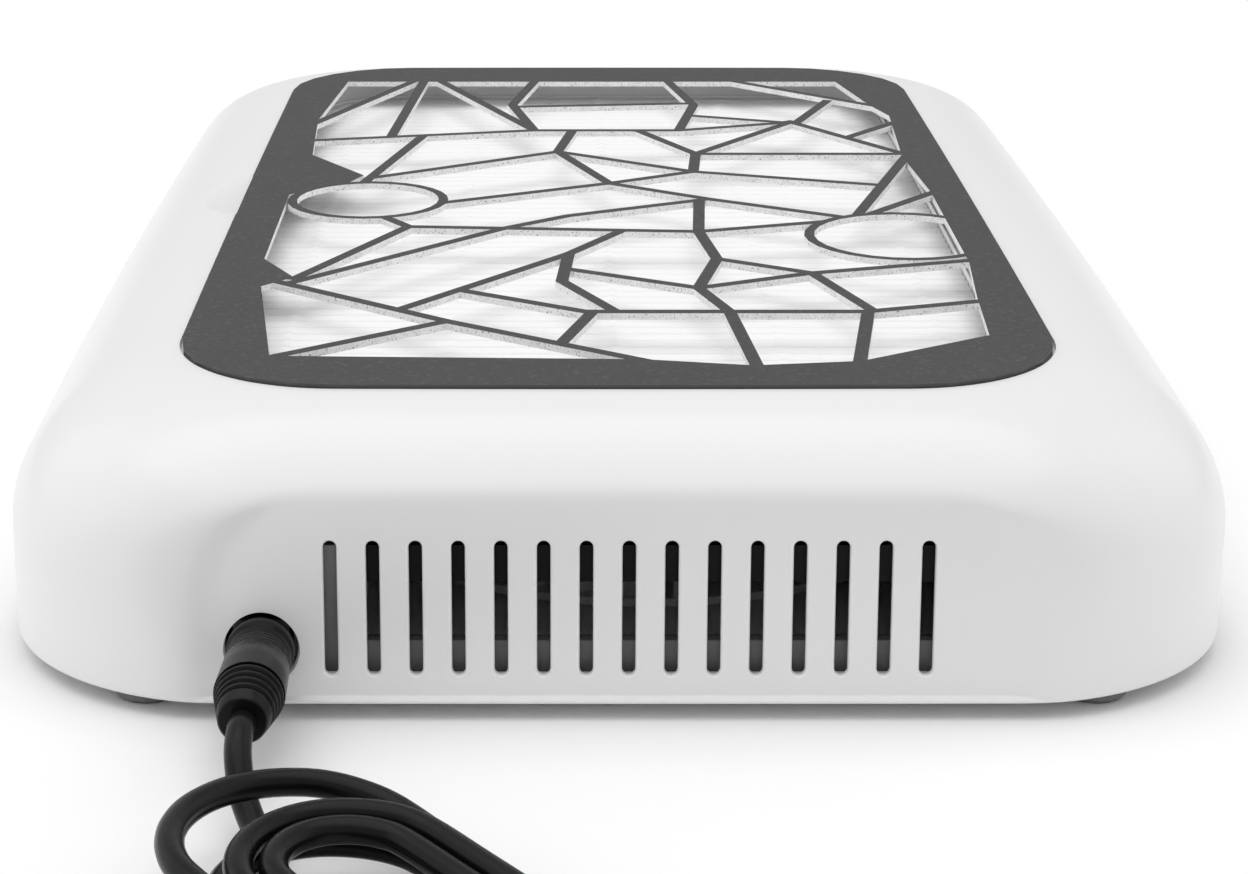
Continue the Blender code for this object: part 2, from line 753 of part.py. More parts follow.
# Bars of the web as bent lines, in the same shares, and how far their ends run on
BAR_END_SHARE = 0.4
BAR_SHARES = (
    ((0.000, 0.755), (0.165, 0.975)),
    ((0.145, 0.705), (0.180, 0.975)),
    ((0.205, 0.975), (0.385, 0.735)),
    ((0.000, 0.690), (0.385, 0.735), (0.630, 0.735), (0.820, 0.770)),
    ((0.198, 0.710), (0.120, 0.520)),
    ((0.125, 0.540), (0.425, 0.645)),
    ((0.250, 0.452), (0.505, 0.522), (0.655, 0.465), (0.870, 0.396)),
    ((0.060, 0.200), (0.345, 0.365), (0.440, 0.407), (0.655, 0.465)),
    ((0.170, 0.400), (0.205, 0.371), (0.630, 0.355), (0.815, 0.387)),
    ((0.205, 0.371), (0.062, 0.210)),
    ((0.000, 0.222), (0.280, 0.097), (0.560, -0.010)),
    ((0.045, 0.000), (0.280, 0.097)),
    ((0.212, 0.125), (0.440, 0.285)),
    ((0.297, 0.178), (0.460, 0.122), (0.830, 0.122), (1.000, 0.152)),
    ((0.650, 0.122), (0.672, -0.030)),
    ((0.832, 0.122), (0.790, -0.030)),
    ((0.840, 0.122), (0.775, 0.228)),
    ((0.615, 0.186), (0.775, 0.228), (1.020, 0.268)),
    ((0.648, 0.270), (0.775, 0.228)),
    ((0.872, 0.410), (0.995, 0.632)),
    ((0.895, 0.415), (1.020, 0.500)),
    ((0.640, 0.566), (0.935, 0.514)),
    ((0.650, 0.636), (1.000, 0.636)),
    ((0.650, 0.636), (0.825, 0.772), (0.995, 0.632)),
    ((0.660, 0.800), (0.825, 0.768)),
    ((0.835, 0.770), (0.905, 0.872)),
    ((0.735, 0.975), (1.000, 0.838)),
    ((0.912, 0.706), (1.020, 0.782)),
    ((0.385, 0.735), (0.345, 0.850), (0.385, 0.975)),
    ((0.630, 0.735), (0.665, 0.850), (0.625, 0.975)),
    ((0.348, 0.842), (0.664, 0.858)),
    ((0.450, 0.735), (0.425, 0.645), (0.505, 0.522)),
    ((0.560, 0.735), (0.650, 0.636), (0.640, 0.566), (0.505, 0.522)),
    ((0.425, 0.645), (0.640, 0.566)),
    ((0.520, 0.360), (0.440, 0.285), (0.430, 0.205), (0.500, 0.122)),
    ((0.640, 0.460), (0.630, 0.355), (0.648, 0.270), (0.615, 0.186), (0.650, 0.122)),
    ((0.437, 0.240), (0.615, 0.186)),
    ((0.430, 0.045), (0.470, 0.122)),
)

# Plain rings set into the web, as (x, y) shares of the window and a share of the ring size
RING_SHARES = ((0.135, 0.463, 1.00), (0.925, 0.342, 1.19))


def window_point(share_x, share_y):
    """A place in the plate's window, from its near left corner to its far right one."""
    side = PLATE_WIDTH / 2 - BORDER_SIDE
    near = -(PLATE_LENGTH / 2 - BORDER_NEAR)
    far = PLATE_LENGTH / 2 - BORDER_FAR
    return mix(-side, side, share_x), mix(near, far, share_y)


def bar_outlines():
    """One rectangle for each straight stretch, run on far enough to meet its neighbours."""
    outlines = []
    half = BAR_WIDTH / 2
    for shares in BAR_SHARES:
        line = [Vector(window_point(*share)) for share in shares]
        ways = [(end - start).normalized() for start, end in zip(line, line[1:])]
        turns = [math.tan(one.angle(two) / 2) for one, two in zip(ways, ways[1:])]
        reaches = [BAR_END_SHARE] + turns + [BAR_END_SHARE]
        for i, along in enumerate(ways):
            across = Vector((-along.y, along.x)) * half
            first = line[i] - along * half * reaches[i]
            last = line[i + 1] + along * half * reaches[i + 1]
            outlines.append([first - across, last - across, last + across, first + across])
    return outlines


def ring_outlines(width):
    return [
        circle(RING_INNER * size_share + width, FINE_STEPS, *window_point(share_x, share_y))
        for share_x, share_y, size_share in RING_SHARES
    ]


def lattice_cover():
    """The plate is triangulated flat with all its outlines, then the solid parts are raised."""
    groups = (
        [plate_outline(0)],
        [[window_point(*share) for share in WINDOW_SHARES]],
        ring_outlines(0),
        ring_outlines(RING_WIDTH) + bar_outlines(),
    )
    points = []
    outlines = []
    kinds = []
    for kind, group in enumerate(groups):
        for outline in group:
            outlines.append(list(range(len(points), len(points) + len(outline))))
            points += [Vector(point) for point in outline]
            kinds.append(kind)
    flat = geometry.delaunay_2d_cdt(points, [], outlines, 1, SEAT_GAP / 100)
    places, faces, origins = flat[0], flat[2], flat[5]
    solid = []
    for face, inside in zip(faces, origins):
        within = {kinds[index] for index in inside}
        opened = 1 in within and (2 in within or 3 not in within)
        if 0 in within and not opened:
            solid.append(face)
    return raise_plate(places, solid)


def raise_plate(places, solid):
    bm = bmesh.new()
    levels = [[bm.verts.new((x, y, z)) for x, y in places] for z in (PLATE_BOTTOM, PLATE_TOP)]
    low, high = levels
    used = {}
    for face in solid:
        for a, b in zip(face, face[1:] + face[:1]):
            used[(a, b)] = True
        bm.faces.new([high[i] for i in face])
        bm.faces.new([low[i] for i in reversed(face)])
    for a, b in used:
        if (b, a) not in used:
            bm.faces.new((low[a], low[b], high[b], high[a]))
    bmesh.ops.delete(bm, geom=[vert for vert in bm.verts if not vert.link_faces], context="VERTS")
    return from_mesh("lattice_cover", bm, plate_paint(), smooth=False)


def filter_cassette():
    outer = well_outline(-SEAT_GAP)
    inner = well_outline(-SEAT_GAP - CASSETTE_WALL)
    rings = [
        level(outer, CASSETTE_BOTTOM),
        level(outer, CASSETTE_TOP),
        level(inner, CASSETTE_TOP),
        level(inner, CASSETTE_BOTTOM),
    ]
    loft("filter_frame", rings, white_plastic(), closed=True)
    low = LIP_TOP + SEAT_GAP
    rings = [
        level(outer, low),
        level(outer, low + GASKET_THICK),
        level(inner, low + GASKET_THICK),
        level(inner, low),
    ]
    loft("filter_gasket", rings, finish("foam_grey", (0.12, 0.12, 0.12), 0.95), closed=True)
    pleats()


def pleats():
    """Folded media, its creases across the cassette, cut to the frame's inner outline."""
    half_y = WELL_Y - CASSETTE_WALL - SEAT_GAP * 2
    half_x = WELL_X - CASSETTE_WALL - SEAT_GAP * 2
    count = int((half_y * 2) / PLEAT_PITCH)
    middle = (CASSETTE_TOP + CASSETTE_BOTTOM) / 2
    low = middle - PLEAT_DEPTH / 2 - MEDIA_THICK / 2
    line = []
    for i in range(count * 2 + 1):
        y = -half_y + half_y * i / count
        line.append((y, low + (PLEAT_DEPTH if i % 2 else 0)))
    outline = line + [(y, z + MEDIA_THICK) for y, z in reversed(line)]
    bm = bmesh.new()
    steps = len(line)
    ends = [[bm.verts.new((x, y, z)) for y, z in outline] for x in (-half_x, half_x)]
    for i in range(len(outline)):
        j = (i + 1) % len(outline)
        bm.faces.new((ends[0][i], ends[0][j], ends[1][j], ends[1][i]))
    for end in ends:
        for i in range(steps - 1):
            bm.faces.new((end[i], end[i + 1], end[-2 - i], end[-1 - i]))
    media = from_mesh("filter_pleats", bm, filter_paper(), smooth=False)
    keep = well_outline(-CASSETTE_WALL - SEAT_GAP * 2)
    trim = prism("trim_pleats", keep, CASSETTE_BOTTOM - OVERRUN, CASSETTE_TOP + OVERRUN)
    combine(media, trim, "INTERSECT")


def scroll(inset):
    """The fan housing's outline: a spiral from the tongue round to the mouth."""
    tongue = math.radians(215)
    first = IMPELLER_RADIUS + TONGUE_GAP + HOUSING_WALL
    steps = 20
    points = []
    for i in range(steps + 1):
        angle = mix(tongue, 0, i / steps)
        radius = first + SCROLL_GROWTH * i / steps - inset
        points.append((FAN_X + radius * math.cos(angle), FAN_Y + radius * math.sin(angle)))
    left = FAN_X + first * math.cos(tongue) + inset
    points[0] = (left, points[0][1])
    right = points[-1][0]
    points.append((right, mix(FAN_Y, MOUTH_Y, 0.45)))
    points.append((right - MOUTH_TAPER, MOUTH_Y + inset))
    points.append((left, MOUTH_Y + inset))
    return points


def mouth_left():
    return scroll(0)[-1][0]


def mouth_right():
    return scroll(0)[-2][0]


def fan_housing():
    housing = prism("fan_housing", scroll(0), FAN_BASE, HOUSING_TOP, dark_plastic())
    inner = scroll(HOUSING_WALL)
    cut(housing, prism("pocket_fan", inner, FAN_FLOOR, HOUSING_TOP + OVERRUN))
    under = FAN_BASE + HOUSING_FOOT
    cut(housing, prism("pocket_under", inner, FAN_BASE - OVERRUN, under))
    low = (mouth_left() + HOUSING_WALL, MOUTH_Y - OVERRUN, MOUTH_LIP_TOP)
    high = (mouth_right() - HOUSING_WALL, MOUTH_Y + OVERRUN, HOUSING_TOP + OVERRUN)
    cut(housing, box("mouth_fan", low, high))
    low = (JACK_X + JACK_SIZE / 2 + FLANGE_GAP, MOUTH_Y, FAN_BASE)
    high = (mouth_left() + HOUSING_WALL / 4, MOUTH_Y + HOUSING_WALL, LIP_TOP)
    join(housing, box("flange_fan", low, high))
    for index, (x, y) in enumerate(motor_screw_places()):
        wide = MOTOR_SHANK + LOOSE_GAP
        low = under - OVERRUN
        hole = rod(f"hole_motor_{index}", wide, low, FAN_FLOOR + OVERRUN, steps=SMALL_STEPS)
        cut(housing, place(hole, x, y, 0))
    return housing


def fan_inlet_plate():
    low = HOUSING_TOP + SEAT_GAP
    high = low + INLET_PLATE_THICK
    lid = prism("fan_inlet_plate", scroll(HOUSING_WALL / 2), low, high, black_plastic())
    mouth = rod("hole_inlet", INLET_RADIUS, low - OVERRUN, high + OVERRUN, steps=FINE_STEPS)
    cut(lid, place(mouth, FAN_X, FAN_Y, 0))
    lower = low + INLET_PLATE_THICK / 8
    upper = high - INLET_PLATE_THICK / 8
    for index in range(3):
        reach = INLET_RADIUS + GUARD_BAR
        bar = box(f"guard_bar_{index}", (-reach, -GUARD_BAR / 2, lower), (reach, GUARD_BAR / 2, upper))
        turn = Matrix.Rotation(math.pi * (index + 0.5) / 3, 4, "Z")
        bar.matrix_world = Matrix.Translation((FAN_X, FAN_Y, 0)) @ turn
        join(lid, bar)
    edge = INLET_PLATE_THICK / 4
    inner = INLET_RADIUS / 2
    outer = inner + GUARD_BAR
    profile = [(inner, low + edge), (outer, low + edge), (outer, high - edge), (inner, high - edge)]
    ring = turned("guard_ring", profile, None, FINE_STEPS, bore=True)
    join(lid, place(ring, FAN_X, FAN_Y, 0))
    inset = HOUSING_WALL + LOOSE_GAP
    low = (mouth_left() + inset, MOUTH_Y, LIP_TOP - INLET_SKIRT)
    high = (mouth_right() - inset, MOUTH_Y + INLET_PLATE_THICK, LIP_TOP)
    join(lid, box("skirt_inlet", low, high))
    return lid


def motor_screw_places():
    turns = [2 * math.pi * i / 3 for i in range(3)]
    return [
        (FAN_X + MOTOR_SCREW_RADIUS * math.cos(a), FAN_Y + MOTOR_SCREW_RADIUS * math.sin(a))
        for a in turns
    ]


def impeller():
    """Backplate, forward-curved blades, top ring and a hub that is open underneath."""
    disc = WHEEL_LOW + BACKPLATE_THICK
    top = WHEEL_LOW + IMPELLER_HEIGHT
    profile = [
        (HUB_RADIUS - HUB_WALL, WHEEL_LOW),
        (IMPELLER_RADIUS, WHEEL_LOW),
        (IMPELLER_RADIUS, disc),
        (HUB_RADIUS, disc),
        (HUB_RADIUS, HUB_TOP - HUB_WALL / 2),
        (HUB_RADIUS - HUB_WALL / 2, HUB_TOP),
        (0.0, HUB_TOP),
        (0.0, HUB_TOP - HUB_WALL),
        (HUB_RADIUS - HUB_WALL, HUB_TOP - HUB_WALL),
    ]
    wheel = lathe("impeller", profile, dark_plastic(), FINE_STEPS)
    bm = bmesh.new()
    for index in range(BLADE_COUNT):
        add_blade(bm, 2 * math.pi * index / BLADE_COUNT, disc, top)
    blades = from_mesh("blades", bm, None, smooth=False)
    join(wheel, blades)
    ring_profile = [
        (IMPELLER_RADIUS - RIM_WIDTH, top - BACKPLATE_THICK),
        (IMPELLER_RADIUS - BLADE_THICK / 2, top - BACKPLATE_THICK),
        (IMPELLER_RADIUS - BLADE_THICK / 2, top + BLADE_THICK / 2),
        (IMPELLER_RADIUS - RIM_WIDTH, top + BLADE_THICK / 2),
    ]
    join(wheel, turned("impeller_rim", ring_profile, None, FINE_STEPS, bore=True))
    for piece in [wheel] + [step.object for step in wheel.modifiers]:
        place(piece, FAN_X, FAN_Y, 0)
    return wheel


def add_blade(bm, turn, disc, top):
    """One curved vane in flat strips, from the rim inwards."""
    outer = IMPELLER_RADIUS - BLADE_THICK
    low = disc - BACKPLATE_THICK / 2
    high = top - BACKPLATE_THICK / 4
    line = []
    for i in range(BLADE_STEPS + 1):
        share = i / BLADE_STEPS
        radius = outer - BLADE_CHORD * share
        lean = BLADE_PITCH * share * BLADE_CHORD / outer * (2 - share)
        line.append((radius, turn + lean))
    half = BLADE_THICK / 2
    sides = []
    for radius, angle in line:
        row = []
        for side in (-half, half):
            offset = angle + side / radius
            row.append((radius * math.cos(offset), radius * math.sin(offset)))
        sides.append(row)
    outline = [row[0] for row in sides] + [row[1] for row in reversed(sides)]
    ends = [[bm.verts.new((x, y, z)) for x, y in outline] for z in (low, high)]
    count = len(outline)
    for i in range(count):
        j = (i + 1) % count
        bm.faces.new((ends[0][i], ends[0][j], ends[1][j], ends[1][i]))
    for end in ends:
        for i in range(BLADE_STEPS):
            bm.faces.new((end[i], end[i + 1], end[-2 - i], end[-1 - i]))


def lathe(name, profile, material, steps):
    """Turn a closed profile that may touch the axis."""
    bm = bmesh.new()
    rows = []
    for radius, height in profile:
        if radius == 0:
            rows.append([bm.verts.new((0, 0, height))] * steps)
        else:
            rows.append([bm.verts.new((x, y, height)) for x, y in circle(radius, steps)])
    for low, high in zip(rows, rows[1:] + rows[:1]):
        for i in range(steps):
            j = (i + 1) % steps
            corners = []
            for vert in (low[i], low[j], high[j], high[i]):
                if vert not in corners:
                    corners.append(vert)
            if len(corners) > 2:
                bm.faces.new(corners)
    return from_mesh(name, bm, material)


def sleeve(name, inner, outer, low, high, material):
    """A tube about the fan's axis."""
    profile = [(inner, low), (outer, low), (outer, high), (inner, high)]
    return place(turned(name, profile, material, bore=True), FAN_X, FAN_Y, 0)


def motor():
    steel = bright_steel()
    floor = FAN_FLOOR + SEAT_GAP
    flange_top = MOTOR_FLANGE_TOP
    tube_inner = BEARING_RADIUS + SEAT_GAP
    tube_top = flange_top + BEARING_HEIGHT * 2 + SEAT_GAP * 3
    profile = [
        (tube_inner, flange_top - BASE_THICK / 2),
        (0.0, flange_top - BASE_THICK / 2),
        (0.0, floor),
        (BASE_RADIUS, floor),
        (BASE_RADIUS, flange_top),
        (TUBE_RADIUS, flange_top),
        (TUBE_RADIUS, tube_top),
        (tube_inner, tube_top),
    ]
    base = lathe("motor_base", profile, black_plastic(), ROUND_STEPS)
    place(base, FAN_X, FAN_Y, 0)
    pad_top = STATOR_LOW - SEAT_GAP
    for index, (x, y) in enumerate(motor_screw_places()):
        pad = rod(f"pad_motor_{index}", MOTOR_HEAD, floor + BASE_THICK / 4, pad_top, steps=SMALL_STEPS)
        join(base, place(pad, x, y, 0))
    for index, (x, y) in enumerate(motor_screw_places()):
        hole = rod(
            f"pilot_motor_{index}",
            MOTOR_SHANK + SEAT_GAP,
            floor - OVERRUN,
            flange_top + MOTOR_SHANK_LENGTH / 4,
            steps=SMALL_STEPS,
        )
        cut(base, place(hole, x, y, 0))
    bearing_low = flange_top - BASE_THICK / 2 + SEAT_GAP
    for index, name in enumerate(("bearing_lower", "bearing_upper")):
        low = bearing_low + index * (BEARING_HEIGHT + SEAT_GAP)
        bore = SHAFT_RADIUS + SEAT_GAP
        sleeve(name, bore, BEARING_RADIUS, low, low + BEARING_HEIGHT, steel)
    copper = finish("winding_copper", (0.35, 0.12, 0.05), 0.4, 0.8)
    stator_top = STATOR_LOW + STATOR_HEIGHT
    sleeve("motor_stator", TUBE_RADIUS + SEAT_GAP, STATOR_RADIUS, STATOR_LOW, stator_top, copper)
    cup_inner = MAGNET_RADIUS + SEAT_GAP
    hole = SHAFT_RADIUS + SEAT_GAP
    cup_profile = [
        (cup_inner, CUP_TOP - CUP_HEIGHT),
        (cup_inner + CUP_THICK, CUP_TOP - CUP_HEIGHT),
        (cup_inner + CUP_THICK, CUP_TOP),
        (hole, CUP_TOP),
        (hole, CUP_TOP - CUP_THICK),
        (cup_inner, CUP_TOP - CUP_THICK),
    ]
    cup = turned("rotor_cup", cup_profile, steel, FINE_STEPS, bore=True)
    place(cup, FAN_X, FAN_Y, 0)
    magnet_top = CUP_TOP - CUP_THICK - SEAT_GAP
    magnet_low = CUP_TOP - CUP_HEIGHT + CUP_THICK / 2
    magnet_inner = MAGNET_RADIUS - MAGNET_THICK
    sleeve("rotor_magnet", magnet_inner, MAGNET_RADIUS, magnet_low, magnet_top, black_plastic())
    shaft = rod("motor_shaft", SHAFT_RADIUS, bearing_low, CUP_TOP, steel, 16)
    place(shaft, FAN_X, FAN_Y, 0)
    motor_screws()


def motor_screws():
    head_top = FAN_BASE + HOUSING_FOOT - SEAT_GAP
    for index, (x, y) in enumerate(motor_screw_places()):
        screw = pan_screw(
            f"motor_screw_{index + 1}",
            (MOTOR_HEAD, MOTOR_HEAD_HEIGHT, MOTOR_SHANK, MOTOR_SHANK_LENGTH + HOUSING_FLOOR / 2),
        )
        place(screw, x, y, head_top - MOTOR_HEAD_HEIGHT)


def jack_face():
    """The socket's front, just behind the casing's wall."""
    return -(HALF_Y + END_BOW - WALL - SEAT_GAP)


def dc_jack():
    half = JACK_SIZE / 2
    front = jack_face()
    low = (JACK_X - half, front, JACK_Z - half)
    high = (JACK_X + half, front + JACK_DEPTH, JACK_Z + half)
    jack = box("dc_jack", low, high, black_plastic())
    profile = [
        (JACK_PIN_RADIUS, 0),
        (JACK_BORE, 0),
        (JACK_BORE, JACK_BORE_DEPTH + OVERRUN),
        (JACK_PIN_RADIUS, JACK_BORE_DEPTH + OVERRUN),
    ]
    bore = turned("bore_jack", profile, None, bore=True)
    place(bore, JACK_X, front + JACK_BORE_DEPTH, JACK_Z, (0, -1, 0))
    cut(jack, bore)
    return jack


def plug():
    """Overmould with a flat grip, a ribbed tail, and the metal barrel in the socket."""
    nose = jack_face() - SEAT_GAP
    tail_start = PLUG_LENGTH * RIBS_START_SHARE
    rib = PLUG_LENGTH * RIBS_LENGTH_SHARE / PLUG_RIBS
    profile = [
        (PLUG_RADIUS - PLUG_GROOVE / 2, 0),
        (PLUG_RADIUS, PLUG_GROOVE / 2),
        (PLUG_RADIUS, PLUG_LENGTH * PLUG_HEAD_SHARE),
        (mix(PLUG_RADIUS, PLUG_TAIL_RADIUS, PLUG_NECK_SHARE), PLUG_LENGTH * PLUG_WAIST_SHARE),
        (PLUG_RADIUS, PLUG_LENGTH * PLUG_GRIP_SHARE),
        (PLUG_RADIUS, tail_start),
    ]
    for i in range(PLUG_RIBS):
        taper = mix(FIRST_RIB_SHARE, 1, i / PLUG_RIBS)
        radius = mix(PLUG_RADIUS, PLUG_TAIL_RADIUS, taper)
        start = tail_start + rib * i
        for depth, share in RIB_PROFILE_SHARES:
            profile.append((radius - PLUG_GROOVE * depth, start + rib * share))
    profile.append((PLUG_TAIL_RADIUS, PLUG_LENGTH))
    body = turned("dc_plug", profile, lead_vinyl(), MEDIUM_STEPS)
    place(body, JACK_X, nose, JACK_Z, (0, -1, 0))
    flat = PLUG_RADIUS * GRIP_FLAT_SHARE
    grip_near = nose - PLUG_LENGTH * GRIP_NEAR_SHARE
    grip_far = nose - PLUG_LENGTH * GRIP_FAR_SHARE
    low = (JACK_X - PLUG_RADIUS, grip_far, JACK_Z + flat)
    high = (JACK_X + PLUG_RADIUS, grip_near, JACK_Z + PLUG_RADIUS + OVERRUN)
    cut(body, box("flat_grip", low, high))
    reach = PLUG_GROOVE
    profile = [
        (BARREL_BORE, -reach + SEAT_GAP),
        (BARREL_RADIUS, -reach + SEAT_GAP),
        (BARREL_RADIUS, BARREL_LENGTH),
        (BARREL_BORE, BARREL_LENGTH),
    ]
    barrel = turned("plug_barrel", profile, bright_steel(), bore=True)
    place(barrel, JACK_X, nose, JACK_Z, (0, 1, 0))
    socket = rod("pocket_barrel", BARREL_RADIUS + SEAT_GAP, -reach, OVERRUN)
    cut(body, place(socket, JACK_X, nose, JACK_Z, (0, 1, 0)))


def smooth_route(points, step):
    """Even points on a smooth curve through the route; its first and last stretch stay straight."""
    fine = []
    count = len(points)
    for i in range(1, count - 2):
        before, here, ahead, after = points[i - 1:i + 3]
        for k in range(12):
            t = k / 12
            fine.append(
                0.5
                * (
                    2 * here
                    + (ahead - before) * t
                    + (2 * before - 5 * here + 4 * ahead - after) * t * t
                    + (3 * here - before - 3 * ahead + after) * t * t * t
                )
            )
    fine.append(points[-2])
    total = sum((b - a).length for a, b in zip(fine, fine[1:]))
    wanted = max(int(total / step), 2)
    stretch = total / wanted
    even = [points[0], fine[0]]
    travelled = 0.0
    for a, b in zip(fine, fine[1:]):
        size = (b - a).length
        while travelled + size >= stretch * (len(even) - 1) and len(even) <= wanted:
            even.append(a.lerp(b, (stretch * (len(even) - 1) - travelled) / size))
        travelled += size
    return even + [fine[-1], points[-1]]


def tube(name, points, radius, material, resolution=2):
    curve = bpy.data.curves.new(name, "CURVE")
    curve.dimensions = "3D"
    curve.bevel_depth = radius
    curve.bevel_resolution = resolution
    curve.use_fill_caps = True
    spline = curve.splines.new("POLY")
    spline.points.add(len(points) - 1)
    for slot, point in zip(spline.points, points):
        slot.co = (point[0], point[1], point[2], 1.0)
    curve.materials.append(material)
    made = bpy.data.objects.new(name, curve)
    bpy.context.scene.collection.objects.link(made)
    return made


def plug_end():
    return jack_face() - SEAT_GAP - PLUG_LENGTH


def hank_axes():
    """The far fold's centre, the way along the hank, and the way across it."""
    along = Vector((math.cos(HANK_TURN), math.sin(HANK_TURN), 0))
    across = Vector((-along.y, along.x, 0))
    return Vector((HANK_X, HANK_Y, 0)), along, across


def hank_spot(step, radius):
    """A place on one loop: a run out, the near fold, a run back, the far fold.

    The inner loops are shorter, so their far folds lie nearer to the middle.
    """
    far, along, across = hank_axes()
    near = far + along * HANK_RUN
    nest = HANK_NEST * min((HANK_RADIUS - radius) / HANK_STEP, 1.0)
    far = far + along * nest
    run = HANK_RUN - nest
    leg = HANK_LOOP_POINTS // 6
    fold = HANK_LOOP_POINTS // 2 - leg
    step = step % HANK_LOOP_POINTS
    if step <= leg:
        return far - across * radius + along * run * step / leg
    step -= leg
    if step <= fold:
        angle = math.pi * step / fold
        return near + (along * math.sin(angle) - across * math.cos(angle)) * radius
    step -= fold
    if step <= leg:
        return near + across * radius - along * run * step / leg
    step -= leg
    angle = math.pi * step / fold
    return far + (across * math.cos(angle) - along * math.sin(angle)) * radius


def hank_lift(spot):
    """The far fold leans on the lead that comes from the plug."""
    far, along, across = hank_axes()
    reach = HANK_RUN + HANK_RADIUS * 2
    share = ((spot - far).dot(along) + HANK_RADIUS) / reach
    return HANK_LEAN * max(1 - share * HANK_LEAN_END, 0.0)


def hank_points():
    """Loops that spiral out on the lower layer, climb, and spiral in on the upper one."""
    total = HANK_LAYER_TURNS * 2 * HANK_LOOP_POINTS
    leg = HANK_LOOP_POINTS // 6
    climb = HANK_LOOP_POINTS / 4
    widest = total / 2 - climb
    far, along, across = hank_axes()
    points = []
    for i in range(total + 1):
        radius = HANK_RADIUS - HANK_STEP * abs(i - widest) / HANK_LOOP_POINTS
        spot = hank_spot(i, radius)
        rise = min(max((i - widest + climb) / (2 * climb), 0.0), 1.0)
        lift = hank_lift(spot) if i > leg else 0.0
        height = CORD_RADIUS + lift + HANK_RISE * rise * rise * (3 - 2 * rise)
        points.append(Vector((spot.x, spot.y, height)))
    straight = CORD_RADIUS * 2
    first = points[0] - along * straight
    last = points[-1] + along * straight
    return [first] + points + [last]


def least_gap(points, width):
    """The least clear space between stretches of a tube that are not neighbours."""
    least = math.inf
    skip = HANK_LOOP_POINTS // 3
    for i, (a, b) in enumerate(zip(points, points[1:])):
        for c, d in list(zip(points, points[1:]))[i + skip:]:
            least = min(least, segment_distance(a, b, c, d))
    return least - width


def segment_distance(a, b, c, d):
    """The least distance between two straight stretches."""
    steps = 6
    first = [a.lerp(b, k / steps) for k in range(steps + 1)]
    second = [c.lerp(d, k / steps) for k in range(steps + 1)]
    return min((p - q).length for p in first for q in second)


def cord_hank():
    points = hank_points()
    gap = least_gap(points, CORD_RADIUS * 2)
    print(f"least gap of the hank to itself: {gap * 1000:.2f} mm")
    return tube("cord_hank", points, CORD_RADIUS, lead_vinyl(), resolution=1)


# Routes of the lead's free stretches, chosen by hand along what they lie on
SUPPLY_ROUTE = (
    (-0.0578, -0.2018, 0.0102),
    (-0.0568, -0.2062, 0.0065),
    (-0.0549, -0.2105, 0.0036),
    (-0.0528, -0.2152, 0.0023),
    (-0.0516, -0.2210, 0.0021),
    (-0.0517, -0.2275, 0.0021),
    (-0.0530, -0.2338, 0.0021),
)
TAIL_ROUTE = (
    (-0.0397, -0.2516, 0.0110),
    (-0.0242, -0.2716, 0.0119),
    (-0.0136, -0.2850, 0.0120),
    (-0.0038, -0.2967, 0.0117),
    (0.0022, -0.3053, 0.0086),
    (0.0064, -0.3135, 0.0054),
    (0.0108, -0.3213, 0.0046),
    (0.0157, -0.3253, 0.0057),
)


def free_cords():
    points = hank_points()
    straight = CORD_RADIUS * 2
    way_in = (points[1] - points[0]).normalized()
    start = Vector((JACK_X, plug_end() - CORD_GAP, JACK_Z))
    route = [start, start + Vector((0, -straight, 0))]
    route += [Vector(point) for point in SUPPLY_ROUTE]
    route += [points[0] - way_in * (straight + CORD_GAP), points[0] - way_in * CORD_GAP]
    tube("supply_cord", smooth_route(route, CORD_RADIUS * 4), CORD_RADIUS, lead_vinyl())
    way_out = (points[-1] - points[-2]).normalized()
    end = Vector((relief_tip() - CORD_GAP, ADAPTER_Y, ADAPTER_CORD_Z))
    route = [points[-1] + way_out * CORD_GAP, points[-1] + way_out * (straight + CORD_GAP)]
    route += [Vector(point) for point in TAIL_ROUTE]
    route += [end - Vector((straight, 0, 0)), end]
    tube("cord_tail", smooth_route(route, CORD_RADIUS * 4), CORD_RADIUS, lead_vinyl())


def cord_tie():
    """A strap round the four strands of the hank's right-hand run."""
    far, along, across = hank_axes()
    middle = far + along * TIE_PLACE
    inner_low = HANK_RADIUS - HANK_STEP * HANK_LAYER_TURNS - CORD_RADIUS - TIE_SLACK
    inner_high = HANK_RADIUS + CORD_RADIUS + TIE_SLACK
    low = hank_lift(middle) - TIE_SLACK
    high = hank_lift(middle) + HANK_RISE + CORD_RADIUS * 2 + TIE_SLACK
    rings = []
    for grow, side in ((TIE_THICK, -1), (TIE_THICK, 1), (0, 1), (0, -1)):
        ring = []
        corners = (
            (inner_low - grow, low - grow),
            (inner_high + grow, low - grow),
            (inner_high + grow, high + grow),
            (inner_low - grow, high + grow),
        )
        for reach, z in corners:
            spot = middle + across * reach + along * side * TIE_WIDTH / 2
            ring.append((spot.x, spot.y, z))
        rings.append(ring)
    loft("cord_tie", rings, black_plastic(), closed=True, smooth=False)


def relief_tip():
    return ADAPTER_X - ADAPTER_LENGTH / 2 - SEAT_GAP - RELIEF_LENGTH


